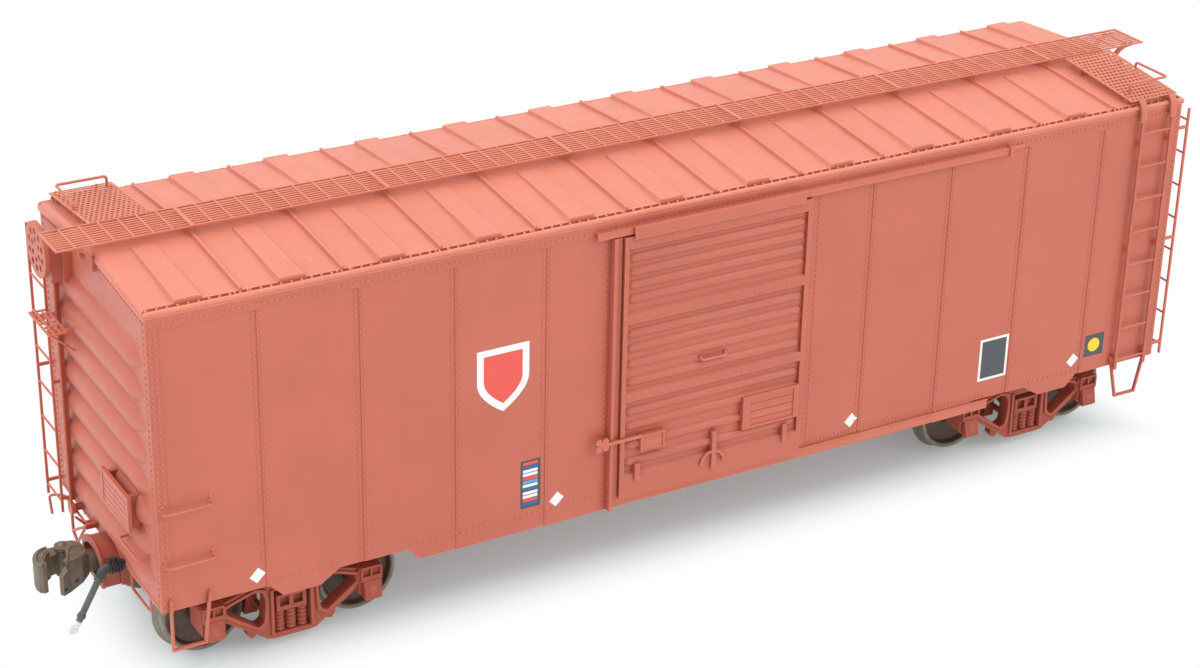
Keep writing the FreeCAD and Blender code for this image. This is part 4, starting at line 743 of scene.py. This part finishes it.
def eave_rivets():
    """Heads that stand in the groove along both eaves, and small ones along the lips."""
    shape = Shape()
    pitch, tall = 1.2, 0.4
    for x in steps(roof_low.x + 0.6, roof_high.x - 0.6, pitch):
        shape.rivet((x, GROOVE_Y, GROOVE_Z), UP, 0.22, tall)
    for x in rib_places():
        for u in (-0.75, 0.75):
            shape.rivet((x + u, GROOVE_Y, GROOVE_Z), UP, 0.2, tall + 0.08)
    for x in steps(roof_low.x + 0.4, roof_high.x - 0.4, pitch):
        shape.rivet((x, roof_low.y, 48.9), NEAR, 0.14, 0.05)
    both_sides(shape).piece("eave_rivets", "carbody", "roof_paint", "roof_paint")


def eave_joint():
    """A floor in the groove along both eaves and a strip on each panel's edge above it, both darker:
    painted shade under the roof's edge.
    """
    shape = Shape()
    shape.block((roof_low.x + 0.3, GROOVE_Y - 0.3, GROOVE_Z - 0.05),
                (roof_high.x - 0.3, GROOVE_Y + 0.25, GROOVE_Z + 0.10))
    panel_y, foot, swell = -16.4, 49.0, 1.9
    top = roof_z(panel_y) - 0.03
    low_y, high_y = panel_y - 0.03, panel_y + 0.1
    for x in rib_places():
        start = x + swell - RIB_PITCH / 2
        section = [(start, low_y, foot), (start, low_y, top), (start, high_y, top), (start, high_y, foot)]
        shape.prism(section, (RIB_PITCH - 2 * swell, 0, 0))
    both_sides(shape).piece("eave_joint", "carbody", "eave_painted_shade", "roof_paint")


def end_rivets():
    """Rivet heads round the edge of each end, and a bolt on each running board bracket."""
    shape = Shape()
    for y in steps(-16.0, 16.0, RIVET_PITCH):
        if abs(y) > 3.6:
            shape.rivet((END_X, y, 12.25), FRONT, RIVET_R, RIVET_H)
    for y in (-16.2, 16.2):
        for z in steps(13.0, 47.6, RIVET_PITCH):
            shape.rivet((END_X, y, z), FRONT, RIVET_R, RIVET_H)
    reach = 15.6
    for y in steps(-reach, reach, RIVET_PITCH):
        shape.rivet((END_X, y, 47.8 + ROOF_SLOPE * (reach - abs(y))), FRONT, RIVET_R, RIVET_H)
    for y in BRACKETS_Y:
        shape.rivet((END_X - 0.5, y, 48.55), FRONT, 0.2, 0.16)
    both_sides(shape).piece("end_rivets", "carbody", "rivet_paint", "body_paint")


def door_rivets():
    """Rows of rivet heads on the flat bands of the doors."""
    shape = Shape()
    frame_y = -17.8
    for z in (45.0, 45.85, 35.3, 36.0, 24.85, 25.55, 14.15):
        for x in steps(door_low.x + 0.9, door_high.x - 0.9, 0.73):
            shape.rivet((x, frame_y, z), NEAR, 0.14, 0.07)
    far = shape.half_turned()
    shape.piece("door_rivets_near", "door_near", "rivet_paint", "body_paint")
    far.piece("door_rivets_far", "door_far", "rivet_paint", "body_paint")


# ---- markings, all of them blank -----------------------------------------------------
ON_PAINT, ON_MARK = 0.02, 0.035     # how far a marking stands off the paint, or over another marking


def marking(shapes, ink_name, outline, lift=ON_PAINT):
    """Adds a thin printed shape, given as (x, z) on the near side, to the shape of its colour."""
    ring = [(x, side_y(x) - lift, z) for x, z in outline]
    shapes.setdefault(ink_name, Shape()).prism(ring, (0, 0.08, 0))


def frame_of(low, high):
    """The four corners of an upright rectangle."""
    return [(low[0], low[1]), (high[0], low[1]), (high[0], high[1]), (low[0], high[1])]


def shield(centre_x, top_z, half, height):
    """A shield: flat top, straight sides and two curves that meet at a point below."""
    shoulder = top_z - 0.5 * height
    right = [(centre_x + half, top_z), (centre_x + half, shoulder)]
    for k in range(1, 8):
        fall = k / 8
        right.append((centre_x + half * (1 - fall ** 1.9), shoulder - 0.5 * height * fall))
    left = [(2 * centre_x - x, z) for x, z in reversed(right)]
    return right + [(centre_x, top_z - height)] + left


def diamond(centre):
    half = 1.0
    return [(centre[0] + half, centre[1] + 0.1), (centre[0] + 0.1, centre[1] + half),
            (centre[0] - half, centre[1] - 0.1), (centre[0] - 0.1, centre[1] - half)]


def disc(centre, radius):
    sides = 24
    turns = [2 * math.pi * k / sides for k in range(sides)]
    return [(centre[0] + radius * math.cos(turn), centre[1] + radius * math.sin(turn)) for turn in turns]


def markings():
    """Blank shield, striped label, diamonds, framed dark panel and yellow dot, on both sides."""
    shapes = {}
    for centre in ((-60.07, 13.5), (-21.25, 13.37), (21.8, 13.6), (57.78, 13.93)):
        marking(shapes, "white", diamond(centre))
    shield_x = -28.56
    marking(shapes, "white", shield(shield_x, 35.47, 3.45, 8.4))
    marking(shapes, "red", shield(shield_x, 34.64, 2.56, 6.5), ON_MARK)
    low, high = (-26.15, 13.14), (-23.45, 19.62)
    marking(shapes, "dark", frame_of(low, high))
    bands = ("red", "blue", "white", "white", "red", "sky",
             "white", "blue", "white", "white", "red", "blue")
    pitch = (high[1] - low[1] - 0.5) / len(bands)
    for k, band in enumerate(bands):
        top = high[1] - 0.25 - k * pitch
        marking(shapes, band, frame_of((low[0] + 0.3, top - 0.78 * pitch), (high[0] - 0.4, top)), ON_MARK)
    low, high, rim = (41.82, 14.37), (46.5, 20.45), 0.37
    marking(shapes, "white", frame_of(low, high))
    marking(shapes, "dark", frame_of((low[0] + rim, low[1] + rim), (high[0] - rim, high[1] - rim)), ON_MARK)
    marking(shapes, "dark", frame_of((59.55, 13.93), (62.83, 17.15)))
    marking(shapes, "yellow", disc((61.14, 15.56), 1.0), ON_MARK)
    for ink_name, shape in shapes.items():
        look = f"decal_{ink_name}"
        both_sides(shape).piece(f"{look}_markings", "carbody", look, "body_paint")


# ---- air hoses -----------------------------------------------------------------------
def air_hoses():
    """A ribbed black cock, a grey moulded hose with clamps, and a pale glad hand, at both ends."""
    root = Vector((END_X, -4.9, 12.0))
    top, end = Vector((-74.3, -4.9, 11.9)), Vector((-77.65, -4.9, 5.85))
    along = (end - top).normalized()
    across = Vector((0, 1, 0))
    cock = Shape()
    cock.tube([root, root + Vector((-2.0, 0, 0))], 0.6, 14)
    for k, radius in enumerate((0.8, 0.88, 0.8, 0.86, 0.76)):
        start = root + Vector((-0.35 - 0.36 * k, 0, 0))
        cock.tube([start, start + Vector((-0.2, 0, 0))], radius, 14)
    cock.tube([root + Vector((-1.3, 0, 0.3)), root + Vector((-1.3, 0, 1.15))], 0.26, 8)
    cock.tube([root + Vector((-0.9, 0, 1.1)), root + Vector((-2.2, 0.1, 1.15))], 0.15, 8)
    bend = [root + Vector((-1.9, 0, 0)), top + Vector((0.25, 0, 0.02)),
            top + along * 0.25, top + along * 0.9]
    cock.tube(bend, (0.62, 0.62, 0.6, 0.56), 14)
    both_sides(cock).piece("air_hose_cocks", "carbody", "cock_black", "coupler_metal", ("air_hoses",))
    hose = Shape()
    hose.tube([top + along * 0.7, end], 0.39, 16)
    clamps = ((1.0, 0.42, 0.50), (1.3, 0.16, 0.56), (5.9, 0.5, 0.48), (6.1, 0.16, 0.53))
    for place, length, radius in clamps:
        hose.tube([top + along * place, top + along * (place + length)], radius, 16)
    both_sides(hose).piece("air_hose_tubes", "carbody", "hose_rubber", "hose_rubber", ("air_hoses",))
    hand = Shape()
    neck = end + along * 0.45
    hand.tube([end - along * 0.1, neck, neck + along * 0.35], (0.4, 0.36, 0.3), 12)
    face = end + along * 0.9 + Vector((-0.3, 0, -0.1))
    hand.tube([face - across * 0.25, face - across * 0.12, face + across * 0.12, face + across * 0.25],
              (0.5, 0.6, 0.6, 0.5), 16)
    hand.tube([face - across * 0.33, face + across * 0.33], 0.26, 12)
    both_sides(hand).piece("air_hose_glad_hands", "carbody", "hand_white", "coupler_metal", ("air_hoses",))


# ---- couplers ------------------------------------------------------------------------
def coupler_ribs():
    """Round rims cast on top of the couplers and knuckles, and the heads of their pins."""
    low, high = limits("knuckle_brake")
    pivot, nose_top = low.x + 15.0, high.z
    head_top = limits("coupler_brake")[1].z
    throat = ((11.7, -2.3), (11.35, -1.5), (11.0, -0.6), (10.75, 0.2), (10.3, 0.75), (9.6, 0.85),
              (9.0, 0.6))
    back = ((11.5, -2.2), (10.7, -2.05), (9.9, -1.75), (9.3, -1.3), (8.95, -0.8))
    outer = ((12.7, 2.45), (13.3, 2.25), (13.85, 1.8), (14.25, 1.2), (14.52, 0.5), (14.65, -0.3),
             (14.58, -1.0), (14.3, -1.4))
    inner = ((12.85, 1.6), (13.4, 1.1), (13.75, 0.4), (13.95, -0.4), (14.05, -1.2))

    def rim(shape, line, radius, z):
        """A round bar along the top, lines being given ahead of the pivot and across the car."""
        shape.tube([(pivot - ahead, across, z - 0.35 * radius) for ahead, across in line], radius)

    head, knuckle = Shape(), Shape()
    rim(head, throat, 0.2, head_top)
    rim(head, back, 0.2, head_top)
    head.rivet((pivot - 10.9, 1.75, head_top - 0.02), UP, 0.5, 0.22, 10)
    rim(knuckle, outer, 0.24, nose_top)
    rim(knuckle, inner, 0.17, nose_top)
    for name, part in (("coupler", head), ("knuckle", knuckle)):
        for end, turned in (("brake", part), ("plain", part.half_turned())):
            body = f"{name}_{end}"
            turned.piece(f"{body}_ribs", body, "coupler_metal", "coupler_metal")


# ---- truck side frames ---------------------------------------------------------------
FRAME_BACK, FRAME_FRONT = 11.0, 12.6    # how far out its inner and outer faces are
BOX_X, BOX_TOP = 10.0, 8.5              # the journal boxes, from the truck's middle


def span(side, low, high):
    """Two distances from the centre line, as a low and a high y on one side."""
    return (low, high) if side > 0 else (-high, -low)


def journal_casting(shape, x, side):
    """An axle box that narrows to its front, with two pockets over a slanted lid and its raised pad."""

    def ring(y, half, low, high):
        """The box's outline at one y: wide corners cut off below and small ones above."""
        cut, nick = 0.5 * half, 0.3
        left, right = x - half, x + half
        outline = ((left, low + cut), (left + cut, low), (right - cut, low), (right, low + cut),
                   (right, high - nick), (right - nick, high), (left + nick, high), (left, high - nick))
        return [(u, side * y, z) for u, z in outline]

    shape.taper(ring(10.5, 1.9, 4.5, BOX_TOP), ring(13.0, 1.5, 4.1, BOX_TOP))
    front = span(side, 12.95, 13.4)
    sill, head = BOX_TOP - 1.3, BOX_TOP - 0.3
    bars = ((BOX_TOP - 0.35, BOX_TOP - 0.02, -1.35, 1.35), (sill - 0.7, sill, -1.4, 1.4),
            (sill, head, -1.4, -1.1), (sill, head, 1.1, 1.4), (sill, head, -0.14, 0.14))
    for low, high, left, right in bars:
        shape.block((x + left, front[0], low), (x + right, front[1], high))
    lid = [(13.0, 4.15), (13.85, 4.2), (13.95, 4.5), (13.5, 6.6), (13.0, 6.6)]
    shape.prism([(x - 1.1, side * y, z) for y, z in lid], (2.2, 0, 0))
    pad = [(13.4, 4.9), (13.95, 4.9), (13.7, 6.0), (13.4, 6.05)]
    shape.prism([(x - 0.5, side * y, z) for y, z in pad], (1.0, 0, 0))


def side_frame(shape, centre_x, side):
    """An open cast arch: thin chords round two rimmed windows, column guides, a spring seat and lugs.

    Its outlines are given for the half toward +x, from the truck's middle.
    """
    y_low, y_high = span(side, FRAME_BACK, FRAME_FRONT)
    rim_low, rim_high = span(side, FRAME_FRONT - 0.1, FRAME_FRONT + 0.24)
    depth = FRAME_FRONT - FRAME_BACK
    outer = [(9.0, 8.1), (4.8, 9.35), (2.3, 9.35), (2.3, 7.4), (2.3, 1.6), (3.1, 1.75), (9.0, 5.9)]
    hole = [(8.3, 7.45), (4.7, 8.65), (3.65, 8.3), (3.35, 7.1), (3.6, 4.3), (4.35, 3.75), (8.25, 6.65)]
    lip = [(8.75, 7.75), (4.65, 9.05), (3.25, 8.7), (2.95, 7.1), (3.15, 4.05), (4.3, 3.3), (8.7, 6.3)]
    lug = [(4.5, 3.0), (5.5, 3.7), (5.7, 2.9), (5.2, 2.2), (4.6, 2.3)]
    arm = [(8.2, 8.2), (8.2, 6.2), (11.2, 7.2), (11.2, 8.25), (9.9, 8.6)]
    seat = [(-2.4, 2.3), (-2.4, 1.6), (2.4, 1.6), (2.4, 2.3)]
    corner = 0.6
    for end in (-1, 1):
        turned = [[(centre_x + end * u, z) for u, z in ring] for ring in (outer, hole, lip)]
        shape.holed_plate(turned[0], turned[1], corner, y_low, y_high)
        shape.holed_plate(turned[2], turned[1], corner, rim_low, rim_high)
        guide = sorted((centre_x + end * 2.3, centre_x + end * 2.75))
        shape.block((guide[0], rim_low, 2.2), (guide[1], rim_high, 8.4))
        shape.prism([(centre_x + end * u, y_low + 0.3, z) for u, z in lug], (0, depth - 0.4, 0))
        shape.prism([(centre_x + end * u, y_low, z) for u, z in arm], (0, depth, 0))
        journal_casting(shape, centre_x + end * BOX_X, side)
    shape.block((centre_x - 2.4, y_low, 8.0), (centre_x + 2.4, y_high, 9.35))
    shape.prism([(centre_x + u, y_low, z) for u, z in seat], (0, depth, 0))
    shape.block((centre_x - 1.1, y_low + 0.4, 1.35), (centre_x + 1.1, y_high - 0.1, 1.7))


def side_frames():
    """Both side frames of each truck, as one piece that rides on the truck."""
    for truck in ("truck_brake", "truck_plain"):
        low, high = limits(f"{truck}_sideframes")
        shape = Shape()
        for side in (-1, 1):
            side_frame(shape, (low.x + high.x) / 2, side)
        made = shape.piece(f"{truck}_side_castings", truck, "truck_paint", "truck_paint",
                           (f"{truck}_sideframes",))
        round_off(made, 0.1)


side_frames()
running_board_grid()
running_board_supports()
end_ladder_wires()
brake_step_grid()
lateral_walk_grid()
markings()
air_hoses()
coupler_ribs()
side_rivets()
eave_rivets()
eave_joint()
end_rivets()
door_rivets()


# ---- stage, lights and camera --------------------------------------------------------
def seen_ray(tree):
    """1 for the rays of the camera, mirrors and glass, and 0 for the rays that light the object."""
    path = tree.nodes.new("ShaderNodeLightPath")
    seen = path.outputs["Is Camera Ray"]
    for ray in ("Is Glossy Ray", "Is Transmission Ray"):
        either = tree.nodes.new("ShaderNodeMath")
        either.operation = "ADD"
        tree.links.new(seen, either.inputs[0])
        tree.links.new(path.outputs[ray], either.inputs[1])
        seen = either.outputs["Value"]
    return seen


def mix_shaders(tree, factor, first, second):
    mix = tree.nodes.new("ShaderNodeMixShader")
    for source, target in zip((factor, first, second), mix.inputs):
        tree.links.new(source, target)
    return mix.outputs["Shader"]


def make_floor():
    """A plain pale table top that holds the car's shadow and turns to plain white away from it; the white
    is painted in by distance from the car, which also lightens the shadow next to it.
    """
    mesh = bpy.data.meshes.new("floor")
    reach = 6.0
    low = min(cad_low.z, 0.0)
    corners = [(-reach, -reach, low), (reach, -reach, low), (reach, reach, low), (-reach, reach, low)]
    mesh.from_pydata(corners, [], [(0, 1, 2, 3)])
    n = Nodes("floor_white")
    n.shader.inputs["Base Color"].default_value = (0.93, 0.935, 0.935, 1)
    n.shader.inputs["Roughness"].default_value = 0.6
    n.shader.inputs["Specular IOR Level"].default_value = 0.2
    shadowed = n.tree.nodes.new("ShaderNodeBsdfDiffuse")
    # a cyan tint that cancels the red light bounced off the car: painted light in the floor's shadow
    shadowed.inputs["Color"].default_value = (0.72, 0.88, 0.87, 1)
    white = n.tree.nodes.new("ShaderNodeEmission")
    white.inputs["Color"].default_value = (1, 1, 1, 1)
    white.inputs["Strength"].default_value = 1.0
    place = n.tree.nodes.new("ShaderNodeSeparateXYZ")
    n.link(n.place, place.inputs["Vector"])
    past_side = n.math("SUBTRACT", n.math("ABSOLUTE", place.outputs["Y"], 0.0), side_low.y * -MM)
    past_end = n.math("SUBTRACT", n.math("ABSOLUTE", place.outputs["X"], 0.0), END_X * -MM)
    away = n.math("MAXIMUM", past_side, past_end)
    # painted shadow fade: plain white grows with distance from the car's sides and ends
    painted_shadow_fade = n.remap(away, -9.0 * MM, 4.5 * MM, 0.22, 1.0, "SMOOTHSTEP")
    seen = mix_shaders(n.tree, painted_shadow_fade, shadowed.outputs["BSDF"], white.outputs["Emission"])
    surface = mix_shaders(n.tree, seen_ray(n.tree), n.shader.outputs["BSDF"], seen)
    n.link(surface, n.tree.nodes["Material Output"].inputs["Surface"])
    mesh.materials.append(n.material)
    floor = bpy.data.objects.new("floor", mesh)
    bpy.context.scene.collection.objects.link(floor)


def make_world(strength):
    """Even white light from all round; the camera, mirrors and glass see plain white."""
    world = bpy.data.worlds.new("studio")
    bpy.context.scene.world = world
    world.use_nodes = True
    tree = world.node_tree
    soft = tree.nodes["Background"]
    soft.inputs["Color"].default_value = (0.985, 0.99, 1.0, 1)
    soft.inputs["Strength"].default_value = strength
    seen = tree.nodes.new("ShaderNodeBackground")
    seen.inputs["Color"].default_value = (1, 1, 1, 1)
    seen.inputs["Strength"].default_value = 1.0
    surface = mix_shaders(tree, seen_ray(tree), soft.outputs["Background"], seen.outputs["Background"])
    tree.links.new(surface, tree.nodes["World Output"].inputs["Surface"])


def make_sun(name, toward, strength, spread_deg):
    """A broad soft lamp that shines from the direction toward."""
    lamp = bpy.data.lights.new(name, "SUN")
    lamp.energy = strength
    lamp.angle = math.radians(spread_deg)
    made = bpy.data.objects.new(name, lamp)
    made.rotation_mode = "QUATERNION"
    made.rotation_quaternion = Vector(toward).to_track_quat("Z", "Y")
    bpy.context.scene.collection.objects.link(made)


CAMERA = {
    "azimuth": math.radians(-30.16), "elevation": math.radians(25.92), "roll": math.radians(1.256),
    "distance": 330.9, "target": Vector((-5.855, 0, 24.76)), "lens": 78.47, "sensor": 36.0,
}


def make_camera():
    """The camera stands at the near left, above the car, and looks down along it."""
    azimuth, elevation = CAMERA["azimuth"], CAMERA["elevation"]
    back = Vector((math.sin(azimuth) * math.cos(elevation), -math.cos(azimuth) * math.cos(elevation),
                   math.sin(elevation)))
    right = (-back).cross(Vector((0, 0, 1))).normalized()
    up = right.cross(-back)
    turn = CAMERA["roll"]
    right, up = right * math.cos(turn) + up * math.sin(turn), up * math.cos(turn) - right * math.sin(turn)
    data = bpy.data.cameras.new("camera")
    data.sensor_width = CAMERA["sensor"]
    data.lens = CAMERA["lens"]
    data.clip_start, data.clip_end = 0.01, 50.0
    made = bpy.data.objects.new("camera", data)
    made.rotation_mode = "QUATERNION"
    made.rotation_quaternion = Matrix((right, up, back)).transposed().to_quaternion()
    made.location = (CAMERA["target"] + back * CAMERA["distance"]) * MM
    bpy.context.scene.collection.objects.link(made)
    bpy.context.scene.camera = made


make_floor()
make_world(0.75)
make_sun("key", (0.55, -0.62, 0.75), 1.05, 50)
make_sun("rim", (-0.52, 0.3, 0.95), 1.5, 60)
make_camera()
bpy.context.scene.view_settings.view_transform = "Standard"
